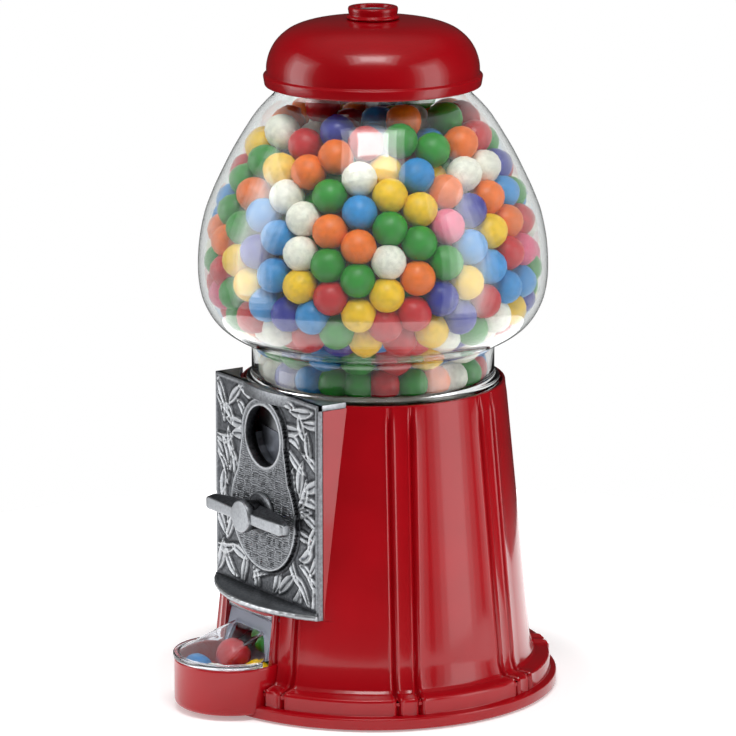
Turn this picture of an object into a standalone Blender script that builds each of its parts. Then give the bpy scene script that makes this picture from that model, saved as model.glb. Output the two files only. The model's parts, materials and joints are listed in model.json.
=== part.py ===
"""Coin-operated gumball machine: cast base, pewter front plate, glass globe and lifting lid.

The machine stands on its feet at z = 0, its axis is the Z axis, and its front looks along -Y.
All sizes below are in millimetres; the shape helpers turn them into metres.
"""
import math

import bmesh
import bpy
from mathutils import Matrix, Vector

MM = 0.001
CORNER_PHASE = 2.9           # degrees that round cutters are turned by

# Fits
GAP = 0.3                    # clearance between pieces that rest on each other
RUN = 0.6                    # clearance between pieces that move past each other

# Base casting
BASE_HEIGHT = 128.0          # floor to the rim under the globe
BASE_TOP_RADIUS = 53.8
CONE_FOOT_RADIUS = 65.2
CONE_FOOT_HEIGHT = 13.8
SKIRT_RADIUS = 73.0
SKIRT_HEIGHT = 12.7
FLANGE_RADIUS = 75.8
FLANGE_HEIGHT = 5.2
CAST_WALL = 2.6
RIM_WALL = 1.9
FLUTE_GROUPS = 8
FLUTE_WIDTH = 2.2
FLUTE_DEPTH = 1.2
FLUTE_SPREAD = 9.0           # between the two flutes of a group

# Feet and bottom
FOOT_DROP = 0.8              # how far the feet stand below the casting
FOOT_RADIUS = 7.0
FOOT_CIRCLE = 54.0
BOTTOM_PLATE_Z = 4.2
BOTTOM_PLATE_THICKNESS = 1.4
BOTTOM_LEDGE = 5.0

# Globe
GLOBE_RADIUS = 70.9
GLOBE_BELLY = 49.0           # base rim up to the widest point
GLOBE_DROP = 33.0            # widest point down to the fold above the neck
GLOBE_HEIGHT = 122.0         # base rim up to the glass mouth
MOUTH_RADIUS = 38.5
GLASS = 2.2
LIP_WIDTH = 2.1
LIP_HEIGHT = 2.2

# Lid
LID_RADIUS = 44.3
LID_CROWN = 26.6             # lid edge up to the knob seat
LID_SKIRT = 1.6              # how far the lid hangs below the glass mouth
LID_WALL = 2.2
KNOB_RADIUS = 9.9
KNOB_HEIGHT = 4.7
KNOB_WELL_RADIUS = 7.4
KNOB_WELL_DEPTH = 2.5
ROD_RADIUS = 3.0
THREAD_CORE = 2.0

# Front plate and coin mechanism
PLATE_HALF_WIDTH = 38.0
PLATE_HEIGHT = 88.0
PLATE_THICKNESS = 2.4
PLATE_INSET = 1.7            # plate face behind the base's rim
PLATE_RISE = 1.7             # plate top above the base's rim
BOSS_HEIGHT = 1.6
BOSS_TOP_RADIUS = 16.0
BOSS_LOW_RADIUS = 24.3
COIN_HOLE_RADIUS = 12.5
COIN_HOLE_DROP = 19.5        # plate top down to the coin hole's centre
SHAFT_DROP = 51.3            # plate top down to the handle shaft
SHAFT_RADIUS = 3.0
BUSH_RADIUS = 8.0
COIN_WHEEL_THICKNESS = 3.0
MECHANISM_PLATE_THICKNESS = 1.5
GEAR_RADIUS = 33.0
GEAR_TEETH = 24
GEAR_THICKNESS = 4.5
TOOTH_HEIGHT = 3.0
PAWL_HUB_RADIUS = 4.0
PAWL_PIN_RADIUS = 1.5
HANDLE_HALF_LENGTH = 28.7
HANDLE_STANDOFF = 12.8
HOOD_REACH = 3.0             # hood's edge in front of the cone
HOOD_THICKNESS = 2.0

# Dispensing wheel
WHEEL_RADIUS = 41.0
POCKETS = 8
POCKET_RADIUS = 8.2
POCKET_CIRCLE = 27.5
BALL_DIAMETER = 14.0
SHEET = 1.5

# Cup and chute
CUP_RADIUS = 23.3
CUP_CENTRE = 69.1            # cup's centre in front of the machine's axis
CUP_HEIGHT = 21.1
CUP_BOTTOM = 4.3
CUP_WALL = 2.0
CHUTE_HALF_WIDTH = 17.0
SILL_HEIGHT = 15.0
FLAP_THICKNESS = 1.6
FLAP_PIN_RADIUS = 1.2
ARCH_HALF_WIDTH = 13.0
ARCH_RISE = 11.0

# Heights and depths that follow from the sizes above
PLATE_FACE = BASE_TOP_RADIUS - PLATE_INSET
PLATE_BACK = PLATE_FACE - PLATE_THICKNESS
PLATE_TOP = BASE_HEIGHT + PLATE_RISE
PLATE_BOTTOM = PLATE_TOP - PLATE_HEIGHT
SHAFT_Z = PLATE_TOP - SHAFT_DROP
COIN_HOLE_Z = PLATE_TOP - COIN_HOLE_DROP
COIN_WHEEL_FRONT = PLATE_BACK - RUN
MECHANISM_FRONT = COIN_WHEEL_FRONT - COIN_WHEEL_THICKNESS - RUN
GEAR_FRONT = MECHANISM_FRONT - MECHANISM_PLATE_THICKNESS - RUN
GEAR_BACK = GEAR_FRONT - GEAR_THICKNESS
WHEEL_BOTTOM = SHAFT_Z + GEAR_RADIUS - 2.4
WHEEL_THICKNESS = BALL_DIAMETER + 1.0
WHEEL_TOP = WHEEL_BOTTOM + WHEEL_THICKNESS
HOPPER_TOP = WHEEL_BOTTOM - RUN
SEAT_Z = BASE_HEIGHT - 2.8
WELL_RADIUS = BASE_TOP_RADIUS - 7.4
LIP_RADIUS = BASE_TOP_RADIUS - RIM_WALL - GAP
NECK_RADIUS = LIP_RADIUS - LIP_WIDTH
GASKET_THICKNESS = 1.3
GLASS_FOOT = SEAT_Z + GASKET_THICKNESS + 2 * GAP
BELLY_Z = BASE_HEIGHT + GLOBE_BELLY
MOUTH_Z = BASE_HEIGHT + GLOBE_HEIGHT
LID_EDGE_Z = MOUTH_Z - LID_SKIRT
KNOB_SEAT_Z = LID_EDGE_Z + LID_CROWN
KNOB_TOP_Z = KNOB_SEAT_Z + GAP + KNOB_HEIGHT
FLAP_PIN_Y = -(PLATE_FACE + 5.4)
FLAP_PIN_Z = PLATE_BOTTOM - 3.0
FLAP_LEG_Y = -(CUP_CENTRE - 7.2)
RIM_TOP = CUP_HEIGHT + GAP

# Finishes: colour (linear), roughness, metallic, transmission
FINISHES = {
    "red_enamel": ((0.47, 0.006, 0.014), 0.18, 0.0, 0.0),
    "pewter": ((0.22, 0.22, 0.23), 0.42, 1.0, 0.0),
    "clear_glass": ((0.95, 0.98, 0.97), 0.02, 0.0, 1.0),
    "clear_plastic": ((0.90, 0.92, 0.95), 0.06, 0.0, 1.0),
    "black_rubber": ((0.02, 0.02, 0.02), 0.75, 0.0, 0.0),
    "black_oxide_steel": ((0.03, 0.03, 0.035), 0.45, 1.0, 0.0),
    "zinc_plated_steel": ((0.55, 0.56, 0.58), 0.30, 1.0, 0.0),
    "ivory_acetal": ((0.75, 0.72, 0.63), 0.40, 0.0, 0.0),
    "gumball_candy": ((0.75, 0.22, 0.10), 0.35, 0.0, 0.0),
}


def clear_scene():
    """Empty the file of its objects."""
    for item in list(bpy.data.objects):
        bpy.data.objects.remove(item, do_unlink=True)


def finish(name):
    """Return the named finish, made once."""
    material = bpy.data.materials.get(name)
    if material:
        return material
    colour, roughness, metallic, transmission = FINISHES[name]
    material = bpy.data.materials.new(name)
    material.use_nodes = True
    shader = material.node_tree.nodes["Principled BSDF"]
    shader.inputs["Base Color"].default_value = (*colour, 1.0)
    shader.inputs["Roughness"].default_value = roughness
    shader.inputs["Metallic"].default_value = metallic
    shader.inputs["Transmission Weight"].default_value = transmission
    return material


def mesh_object(name, points, faces, material=None, smooth=False):
    """Make an object from points in millimetres and faces, with its faces turned outward."""
    mesh = bpy.data.meshes.new(name)
    mesh.from_pydata([Vector(point) * MM for point in points], [], faces)
    shape = bmesh.new()
    shape.from_mesh(mesh)
    bmesh.ops.recalc_face_normals(shape, faces=shape.faces)
    shape.to_mesh(mesh)
    shape.free()
    if smooth:
        mesh.shade_smooth()
        mesh.set_sharp_from_angle(angle=math.radians(35))
    item = bpy.data.objects.new(name, mesh)
    bpy.context.collection.objects.link(item)
    if material:
        mesh.materials.append(finish(material))
    return item


def turned(name, outline, material=None, segments=40, centre=(0, 0), phase=0.0):
    """Turn a closed outline of (radius, z) points about a vertical axis; phase turns its facets."""
    points, rings = [], []
    for radius, z in outline:
        ring = []
        steps = 1 if radius < 1e-6 else segments
        for step in range(steps):
            angle = 2 * math.pi * step / segments + math.radians(phase)
            ring.append(len(points))
            points.append((centre[0] + radius * math.cos(angle), centre[1] + radius * math.sin(angle), z))
        rings.append(ring)
    faces = []
    for one, two in zip(rings, rings[1:] + rings[:1]):
        if len(one) == 1 and len(two) == 1:
            continue
        for step in range(segments):
            after = (step + 1) % segments
            corners = [one[step % len(one)], one[after % len(one)], two[after % len(two)],
                       two[step % len(two)]]
            faces.append(list(dict.fromkeys(corners)))
    return mesh_object(name, points, faces, material, smooth=True)


def prism(name, outline, start, end, to_space, material=None, smooth=False):
    """Extrude a 2-D outline from start to end; to_space(a, b, depth) places a point."""
    count = len(outline)
    points = [to_space(a, b, start) for a, b in outline] + [to_space(a, b, end) for a, b in outline]
    faces = [list(range(count)), list(range(count, 2 * count))]
    faces += [[i, (i + 1) % count, count + (i + 1) % count, count + i] for i in range(count)]
    return mesh_object(name, points, faces, material, smooth)


def prism_set(name, outlines, start, end, to_space):
    """Several prisms in one cutter."""
    points, faces = [], []
    for outline in outlines:
        first, count = len(points), len(outline)
        points += [to_space(a, b, start) for a, b in outline] + [to_space(a, b, end) for a, b in outline]
        faces += [[first + i for i in range(count)], [first + count + i for i in range(count)]]
        faces += [[first + i, first + (i + 1) % count, first + count + (i + 1) % count, first + count + i]
                  for i in range(count)]
    return mesh_object(name, points, faces)


def facing_front(a, b, depth):
    """Place an (x, z) outline at a distance in front of the axis."""
    return (a, -depth, b)


def facing_side(a, b, depth):
    """Place a (y, z) outline at x = depth."""
    return (depth, a, b)


def lying(a, b, depth):
    """Place an (x, y) outline at a height."""
    return (a, b, depth)


def block(name, low, high, material=None):
    """A box between two corners."""
    outline = [(low[0], low[1]), (high[0], low[1]), (high[0], high[1]), (low[0], high[1])]
    return prism(name, outline, low[2], high[2], lying, material)


def arc(centre, radius, start, end, steps):
    """Points along an arc, angles in degrees, both ends included."""
    angles = [math.radians(start + (end - start) * i / steps) for i in range(steps + 1)]
    return [(centre[0] + radius * math.cos(a), centre[1] + radius * math.sin(a)) for a in angles]


def disc(radius, centre=(0, 0), steps=28):
    """A full circle as an outline, turned a little so that no corner meets another piece's corner."""
    return arc(centre, radius, CORNER_PHASE, 360 + CORNER_PHASE, steps)[:-1]


def hexagon(across_flats):
    """A hexagon's outline."""
    return disc(across_flats / math.sqrt(3), steps=6)


def rod_along_y(name, radius, front, back, centre, material=None, steps=24):
    """A round bar between two distances in front of the axis."""
    return prism(name, disc(radius, centre, steps), back, front, facing_front, material, True)


def combine(target, tool, operation):
    """Add a Boolean of the tool to the target and hide the tool."""
    modifier = target.modifiers.new(tool.name, "BOOLEAN")
    modifier.operation = operation
    modifier.solver = "EXACT"
    modifier.object = tool
    tool.hide_render = True
    tool.display_type = "WIRE"
    return target


def cut(target, tool):
    return combine(target, tool, "DIFFERENCE")


def add(target, tool):
    return combine(target, tool, "UNION")


def hang_on_axis(name, place, pieces):
    """Parent moving pieces to an empty on their joint's axis, without moving them."""
    axis = bpy.data.objects.new(name, None)
    axis.location = Vector(place) * MM
    bpy.context.collection.objects.link(axis)
    for piece in pieces:
        piece.parent = axis
        piece.matrix_parent_inverse = Matrix.Translation(-axis.location)


def cone_radius(z):
    """Outer radius of the cone at a height."""
    share = (z - CONE_FOOT_HEIGHT) / (BASE_HEIGHT - CONE_FOOT_HEIGHT)
    return CONE_FOOT_RADIUS + share * (BASE_TOP_RADIUS - CONE_FOOT_RADIUS)


def group_angles():
    """Angles of the flute groups about the axis, the first half a step from the front."""
    step = 360 / FLUTE_GROUPS
    return [-90 + step * (group + 0.5) for group in range(FLUTE_GROUPS)]


def flute_cutters():
    """Bars that run down the cone and the skirt and cut the flutes, all in one mesh."""
    high = BASE_HEIGHT - 4
    low = FLANGE_HEIGHT + FOOT_DROP
    course = [(cone_radius(high) - FLUTE_DEPTH, high), (CONE_FOOT_RADIUS - FLUTE_DEPTH, CONE_FOOT_HEIGHT),
              (SKIRT_RADIUS - 1.6, SKIRT_HEIGHT - FLUTE_DEPTH), (SKIRT_RADIUS - 1.6, low)]
    outline = course + [(SKIRT_RADIUS + 9, low), (SKIRT_RADIUS + 9, high)]
    count = len(outline)
    points, faces = [], []
    for angle in group_angles():
        turn = math.radians(angle)
        for side in (-1, 1):
            first = len(points)
            for edge in (-1, 1):
                across = (side * FLUTE_SPREAD + edge * FLUTE_WIDTH) / 2
                points += [(radius * math.cos(turn) - across * math.sin(turn),
                            radius * math.sin(turn) + across * math.cos(turn), z) for radius, z in outline]
            faces += [[first + i for i in range(count)], [first + count + i for i in range(count)]]
            faces += [[first + i, first + (i + 1) % count, first + count + (i + 1) % count,
                       first + count + i]
                      for i in range(count)]
    return mesh_object("flutes", points, faces)


def base_housing():
    """The cast red base: fluted cone, skirt, coin box and cup in one piece."""
    outline = [(0, FOOT_DROP), (FLANGE_RADIUS - 0.6, FOOT_DROP), (FLANGE_RADIUS, FOOT_DROP + 0.8),
               (FLANGE_RADIUS, FLANGE_HEIGHT), (FLANGE_RADIUS - 0.6, FLANGE_HEIGHT + 0.6),
               (SKIRT_RADIUS, FLANGE_HEIGHT + 0.6), (SKIRT_RADIUS, SKIRT_HEIGHT - 0.8),
               (SKIRT_RADIUS - 0.8, SKIRT_HEIGHT), (CONE_FOOT_RADIUS, CONE_FOOT_HEIGHT),
               (BASE_TOP_RADIUS, BASE_HEIGHT), (0, BASE_HEIGHT)]
    base = turned("base_housing", outline, "red_enamel", segments=64)
    coin_box = block("coin_box", (-PLATE_HALF_WIDTH, -PLATE_BACK, PLATE_BOTTOM - GAP),
                     (PLATE_HALF_WIDTH, -WELL_RADIUS / 2, BASE_HEIGHT - 0.7))
    add(base, coin_box)
    add(base, cup_body())
    cut(base, block("front_flat", (-PLATE_HALF_WIDTH - 1, -FLANGE_RADIUS, PLATE_BOTTOM - GAP),
                    (PLATE_HALF_WIDTH + 1, -PLATE_BACK + GAP, BASE_HEIGHT + 1)))
    cut(base, flute_cutters())
    cut(base, inner_hollow())
    cut(base, block("mechanism_bay", (-PLATE_HALF_WIDTH + CAST_WALL, -FLANGE_RADIUS,
                                      PLATE_BOTTOM + CAST_WALL),
                    (PLATE_HALF_WIDTH - CAST_WALL, -WELL_RADIUS / 2 - 1, HOPPER_TOP + 2.6)))
    well = COIN_HOLE_RADIUS + 3.5
    cut(base, block("coin_well", (-well, -FLANGE_RADIUS, HOPPER_TOP),
                    (well, -(MECHANISM_FRONT - MECHANISM_PLATE_THICKNESS - GAP), SEAT_Z - 1)))
    cut(base, block("chute_mouth", (-CHUTE_HALF_WIDTH, -CUP_CENTRE, SILL_HEIGHT),
                    (CHUTE_HALF_WIDTH, -WELL_RADIUS, PLATE_BOTTOM)))
    cut(base, prism("pin_bore", disc(FLAP_PIN_RADIUS + GAP, (FLAP_PIN_Y, FLAP_PIN_Z), 16),
                    -CHUTE_HALF_WIDTH - 3, CHUTE_HALF_WIDTH + 3, facing_side))


def cup_body():
    """The round cup in front, hollowed before it joins the cone."""
    centre = (0, -CUP_CENTRE)
    outline = [(0, CUP_BOTTOM), (CUP_RADIUS - 3, CUP_BOTTOM), (CUP_RADIUS - 0.9, CUP_BOTTOM + 0.9),
               (CUP_RADIUS, CUP_BOTTOM + 3), (CUP_RADIUS, CUP_HEIGHT), (CUP_RADIUS - CUP_WALL,
                                                                        CUP_HEIGHT),
               (CUP_RADIUS - CUP_WALL, CUP_BOTTOM + CUP_WALL + 1), (CUP_RADIUS - CUP_WALL - 1,
                                                                    CUP_BOTTOM + CUP_WALL),
               (0, CUP_BOTTOM + CUP_WALL)]
    return turned("cup_body", outline, segments=36, centre=centre, phase=CORNER_PHASE)


def inner_hollow():
    """The space inside the base, from the open bottom to the seat of the globe."""
    ledge = BOTTOM_PLATE_Z + BOTTOM_PLATE_THICKNESS + GAP
    floor_radius = CONE_FOOT_RADIUS - CAST_WALL
    outline = [(0, -1), (floor_radius + BOTTOM_LEDGE, -1), (floor_radius + BOTTOM_LEDGE, ledge),
               (floor_radius, ledge), (floor_radius, CONE_FOOT_HEIGHT),
               (cone_radius(HOPPER_TOP + GAP) - CAST_WALL, HOPPER_TOP + GAP),
               (WELL_RADIUS, HOPPER_TOP + GAP), (WELL_RADIUS, SEAT_Z),
               (BASE_TOP_RADIUS - RIM_WALL, SEAT_Z), (BASE_TOP_RADIUS - RIM_WALL, BASE_HEIGHT + 1),
               (0, BASE_HEIGHT + 1)]
    return turned("inner_hollow", outline, segments=48, phase=1.7)


def bottom_pieces():
    """Bottom plate, its screws, the rubber feet and the nut under the centre rod."""
    radius = CONE_FOOT_RADIUS - CAST_WALL + BOTTOM_LEDGE - GAP
    top = BOTTOM_PLATE_Z + BOTTOM_PLATE_THICKNESS
    bore = ROD_RADIUS + GAP
    turned("bottom_plate", [(bore, BOTTOM_PLATE_Z), (radius, BOTTOM_PLATE_Z), (radius, top), (bore, top)],
           "black_oxide_steel")
    screw_circle = CONE_FOOT_RADIUS - CAST_WALL + BOTTOM_LEDGE / 2
    for number in range(4):
        foot_turn = math.radians(45 + 90 * number)
        centre = (FOOT_CIRCLE * math.cos(foot_turn), FOOT_CIRCLE * math.sin(foot_turn))
        high = BOTTOM_PLATE_Z - GAP
        turned(f"foot_{number + 1}", [(0, 0), (FOOT_RADIUS - 1, 0), (FOOT_RADIUS, 1),
                                      (FOOT_RADIUS, high), (0, high)],
               "black_rubber", segments=20, centre=centre)
        screw_turn = math.radians(90 * number + 20)
        centre = (screw_circle * math.cos(screw_turn), screw_circle * math.sin(screw_turn))
        outline = [(0, high - 1.6), (1.9, high - 1.6), (2.4, high - 1.0), (2.4, high), (0, high)]
        turned(f"bottom_screw_{number + 1}", outline, "zinc_plated_steel", segments=12, centre=centre)
    nut = prism("rod_nut", hexagon(9), BOTTOM_PLATE_Z - GAP - 2.6, BOTTOM_PLATE_Z - GAP, lying,
                "zinc_plated_steel")
    cut(nut, turned("rod_nut_bore", [(0, 0), (ROD_RADIUS + GAP, 0), (ROD_RADIUS + GAP, 9), (0, 9)],
                    segments=24))


def centre_rod():
    """The long rod that clamps base, globe and lid together; its top is drawn at the thread's core."""
    low = BOTTOM_PLATE_Z - GAP - 2.6
    high = KNOB_TOP_Z - KNOB_WELL_DEPTH - GAP
    neck = KNOB_SEAT_Z - LID_WALL
    turned("centre_rod", [(0, low), (ROD_RADIUS - 0.5, low), (ROD_RADIUS, low + 0.5),
                          (ROD_RADIUS, neck - 1), (THREAD_CORE, neck), (THREAD_CORE, high), (0, high)],
           "zinc_plated_steel", segments=24)


def hopper_plate():
    """The fixed floor under the dispensing wheel, with the outlet and the gear's slot."""
    radius = cone_radius(HOPPER_TOP) - CAST_WALL - GAP
    bore = ROD_RADIUS + GAP
    plate = turned("hopper_plate", [(bore, HOPPER_TOP - SHEET), (radius, HOPPER_TOP - SHEET),
                                    (radius, HOPPER_TOP),
                                    (bore, HOPPER_TOP)], "zinc_plated_steel")
    low, high = HOPPER_TOP - SHEET - 1, HOPPER_TOP + 1
    cut(plate, prism("outlet", disc(POCKET_RADIUS, (0, -POCKET_CIRCLE)), low, high, lying))
    edge = GEAR_BACK - RUN
    cut(plate, block("gear_slot", (-PLATE_HALF_WIDTH, -radius - 5, low), (PLATE_HALF_WIDTH, -edge, high)))


def dispensing_wheel():
    """The wheel whose pockets carry one ball at a time, with crown teeth under its rim."""
    hub = ROD_RADIUS + RUN
    crown_in = GEAR_BACK - 1.2
    tooth_tip = WHEEL_BOTTOM + 2.4 + GAP
    outline = [(hub, WHEEL_BOTTOM), (crown_in, WHEEL_BOTTOM), (crown_in, tooth_tip),
               (WHEEL_RADIUS, tooth_tip),
               (WHEEL_RADIUS, WHEEL_TOP), (hub, WHEEL_TOP)]
    wheel = turned("dispensing_wheel", outline, "ivory_acetal", segments=56)
    pockets = []
    for pocket in range(POCKETS):
        turn = 2 * math.pi * pocket / POCKETS - math.pi / 2
        pockets.append(disc(POCKET_RADIUS, (POCKET_CIRCLE * math.cos(turn),
                                            POCKET_CIRCLE * math.sin(turn)), 20))
    cut(wheel, prism_set("pockets", pockets, WHEEL_BOTTOM - 1, WHEEL_TOP + 1, lying))
    teeth = round(GEAR_TEETH * (WHEEL_RADIUS - 4) / GEAR_RADIUS)
    spaces = []
    for space in range(teeth):
        turn = 2 * math.pi * space / teeth
        wide = math.pi * crown_in / teeth / 2
        corners = [(crown_in + 0.5, -wide), (WHEEL_RADIUS + 1, -wide), (WHEEL_RADIUS + 1, wide),
                   (crown_in + 0.5, wide)]
        spaces.append([(a * math.cos(turn) - b * math.sin(turn), a * math.sin(turn) + b * math.cos(turn))
                       for a, b in corners])
    cut(wheel, prism_set("crown_spaces", spaces, tooth_tip - 1, tooth_tip + 1.4, lying))


def ball_baffle():
    """The fixed shield over the outlet, so that only the ball in the pocket can fall."""
    low = WHEEL_TOP + RUN
    half = POCKET_RADIUS + 2
    outline = arc((0, 0), 8, 40, 140, 8) + arc((0, -POCKET_CIRCLE), half, 180, 360, 16)
    plate = prism("ball_baffle", outline, low, low + SHEET, lying, "zinc_plated_steel")
    cut(plate, prism("baffle_rod_hole", disc(ROD_RADIUS + GAP, steps=24), low - 1, low + SHEET + 1,
                     lying))


def globe_outline():
    """Outer half section of the globe from its foot to its mouth."""
    foot = [(LIP_RADIUS, GLASS_FOOT), (LIP_RADIUS, GLASS_FOOT + LIP_HEIGHT),
            (NECK_RADIUS, GLASS_FOOT + LIP_HEIGHT + 2)]
    flare = GLOBE_RADIUS - (NECK_RADIUS - 2.9)
    belly = []
    for step in range(7):
        turn = math.radians(83 * (1 - step / 6))
        belly.append((NECK_RADIUS - 2.9 + flare * math.cos(turn), BELLY_Z - GLOBE_DROP * math.sin(turn)))
    shoulder_z = MOUTH_Z - 6
    rise = shoulder_z - BELLY_Z
    ends = [(GLOBE_RADIUS, BELLY_Z), (GLOBE_RADIUS, BELLY_Z + 0.42 * rise),
            (GLOBE_RADIUS - 15, BELLY_Z + 0.72 * rise), (MOUTH_RADIUS + 1.5, shoulder_z)]
    dome = []
    for step in range(1, 6):
        t = step / 5
        share = [(1 - t) ** 3, 3 * t * (1 - t) ** 2, 3 * t * t * (1 - t), t ** 3]
        dome.append(tuple(sum(s * end[axis] for s, end in zip(share, ends)) for axis in (0, 1)))
    return foot + belly + dome + [(MOUTH_RADIUS, MOUTH_Z - 3), (MOUTH_RADIUS, MOUTH_Z)]


def inset_outline(outline, distance):
    """Move an open outline to its left by a distance, with its first and last heights kept."""
    moved = []
    for index, point in enumerate(outline):
        before = Vector(outline[max(index - 1, 0)])
        after = Vector(outline[min(index + 1, len(outline) - 1)])
        along = (after - before).normalized()
        moved.append((point[0] - along.y * distance, point[1] + along.x * distance))
    moved[0] = (moved[0][0], outline[0][1])
    moved[-1] = (moved[-1][0], outline[-1][1])
    return moved


def globe_inner(distance):
    """Inner section of the globe at a distance inside the glass's outer face, straight in the neck."""
    profile = globe_outline()
    neck = [(NECK_RADIUS - distance, GLASS_FOOT), (NECK_RADIUS - distance, profile[3][1] - 0.5)]
    return neck + inset_outline(profile[3:], distance)[1:]


def globe_pieces():
    """The glass globe on its gasket, and the gumballs that fill it."""
    low, high = SEAT_Z + GAP, SEAT_Z + GAP + GASKET_THICKNESS
    turned("globe_gasket", [(WELL_RADIUS + 0.8, low), (LIP_RADIUS - 0.4, low), (LIP_RADIUS - 0.4, high),
                            (WELL_RADIUS + 0.8, high)], "black_rubber")
    turned("globe", globe_outline() + globe_inner(GLASS)[::-1], "clear_glass")
    inner = [point for point in globe_inner(GLASS + 0.8) if point[1] < MOUTH_Z - 10]
    bottom = WHEEL_TOP + 2 * RUN + SHEET + GAP
    inner[0] = (inner[0][0], bottom)
    bore = ROD_RADIUS + 0.8
    turned("gumball_load", [(bore, bottom)] + inner + [(inner[-1][0] - 6, inner[-1][1] + 3),
                                                       (bore, inner[-1][1] + 4)],
           "gumball_candy", segments=28)


def lid_pieces():
    """The red lid with its gasket, and the knob that holds it on the rod."""
    edge, seat = LID_EDGE_Z, KNOB_SEAT_Z
    band = LID_RADIUS - 1.4
    crown = [(band, edge + 5.8), (band, edge + 8)]
    for step in range(1, 6):
        turn = math.radians(90 * step / 6)
        crown.append((14 + (band - 14) * math.cos(turn) ** 0.62,
                      edge + 8 + (LID_CROWN - 9.4) * math.sin(turn)))
    outer = [(LID_RADIUS - 0.7, edge), (LID_RADIUS, edge + 0.8), (LID_RADIUS, edge + 4.3)] + crown
    outer += [(13.5, seat - 1.2), (12.5, seat), (ROD_RADIUS + GAP, seat)]
    ceiling = MOUTH_Z + 2.6
    inner = [(ROD_RADIUS + GAP, seat - LID_WALL), (14, seat - LID_WALL - 1)]
    inner += [(radius - LID_WALL, z - LID_WALL) for radius, z in crown[::-1] if radius > 16 and z > ceiling + 4]
    inner += [(MOUTH_RADIUS - 2.6, ceiling + 1), (MOUTH_RADIUS - 2.6, ceiling),
              (LID_RADIUS - LID_WALL, ceiling),
              (LID_RADIUS - LID_WALL, edge)]
    turned("lid", outer + inner, "red_enamel")
    turned("lid_gasket", [(MOUTH_RADIUS - 2.2, MOUTH_Z + GAP), (MOUTH_RADIUS + 2, MOUTH_Z + GAP),
                          (MOUTH_RADIUS + 2, ceiling - GAP), (MOUTH_RADIUS - 2.2,
                                                              ceiling - GAP)], "black_rubber")
    low, high = seat + GAP, KNOB_TOP_Z
    well = high - KNOB_WELL_DEPTH
    bore = ROD_RADIUS + GAP
    turned("lid_knob", [(bore, low), (KNOB_RADIUS + 1.2, low), (KNOB_RADIUS + 1.2, low + 0.8),
                        (KNOB_RADIUS, low + 1.2),
                        (KNOB_RADIUS, high - 0.8), (KNOB_RADIUS - 0.8, high), (KNOB_WELL_RADIUS, high),
                        (KNOB_WELL_RADIUS, well), (bore, well)], "red_enamel", segments=28)
    disc_low = well + GAP
    insert = turned("knob_insert", [(0, disc_low), (KNOB_WELL_RADIUS - GAP, disc_low),
                                    (KNOB_WELL_RADIUS - GAP, disc_low + 1), (0,
                                                                             disc_low + 1)], "black_oxide_steel")
    cut(insert, block("key_slot", (-3, -0.6, disc_low + 0.5), (3, 0.6, disc_low + 2)))


def boss_outline():
    """Outline of the raised panel: two circles joined by hollow flanks."""
    top, low = (0, COIN_HOLE_Z), (0, SHAFT_Z)
    right = arc(low, BOSS_LOW_RADIUS, -90, 38, 14) + arc(top, BOSS_TOP_RADIUS, -8, 90, 11)
    return right + [(-x, z) for x, z in right[-2:0:-1]]


def front_plate():
    """The pewter front plate with its raised panel, coin hole, hood and top ledge."""
    half, low, high = PLATE_HALF_WIDTH, PLATE_BOTTOM, PLATE_TOP
    corner = 1.5
    outline = [(-half, low), (half, low), (half, high - corner), (half - corner, high),
               (corner - half, high),
               (-half, high - corner)]
    plate = prism("front_plate", outline, PLATE_BACK, PLATE_FACE, facing_front, "pewter")
    add(plate, prism("raised_panel", boss_outline(), PLATE_BACK + 0.5, PLATE_FACE + BOSS_HEIGHT,
                     facing_front))
    ledge_low = BASE_HEIGHT - 0.4
    add(plate, block("top_ledge", (-half + corner, -PLATE_FACE + 0.4, ledge_low),
                     (half - corner, -BASE_TOP_RADIUS * 0.72, high)))
    rim_in = BASE_TOP_RADIUS - RIM_WALL + 0.1
    rim_out = BASE_TOP_RADIUS + 0.9
    rim = turned("rim_bow", [(rim_in - 1, SEAT_Z - 0.6), (rim_out, SEAT_Z - 0.6), (rim_out, high),
                             (rim_in - 1, high)],
                 segments=64, phase=CORNER_PHASE)
    cut(rim, block("rim_bow_rest", (-99, -PLATE_BACK - 1, 0), (99, 99, high + 9)))
    add(plate, rim)
    add(plate, hood())
    cut(plate, turned("lip_recess", [(0, SEAT_Z - 0.3), (rim_in, SEAT_Z - 0.3), (rim_in, high + 1),
                                     (0, high + 1)],
                      segments=64, phase=0.7))
    rim_clear = BASE_TOP_RADIUS + GAP
    recess = turned("rim_recess", [(0, ledge_low - 1), (rim_clear, ledge_low - 1), (rim_clear, high + 1),
                                   (0, high + 1)],
                    segments=64, phase=1.1)
    cut(recess, block("recess_front", (-99, -99, 0), (99, -PLATE_BACK, high + 9)))
    cut(plate, recess)
    cut(plate, rod_along_y("coin_hole", COIN_HOLE_RADIUS, PLATE_FACE + 9, 0, (0, COIN_HOLE_Z), steps=48))
    cut(plate, rod_along_y("bush_hole", BUSH_RADIUS - 2 + GAP, PLATE_FACE + 9, 0, (0, SHAFT_Z)))


def hood():
    """The ledge at the foot of the plate that bows out over the chute."""
    half = PLATE_HALF_WIDTH
    reach = cone_radius(PLATE_BOTTOM) + HOOD_REACH
    side = math.degrees(math.acos(half / reach))
    outline = arc((0, 0), reach, -180 + side, -side, 24) + [(half, -PLATE_FACE + 0.5),
                                                            (-half, -PLATE_FACE + 0.5)]
    return prism("hood", outline, PLATE_BOTTOM, PLATE_BOTTOM + HOOD_THICKNESS, lying)


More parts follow.
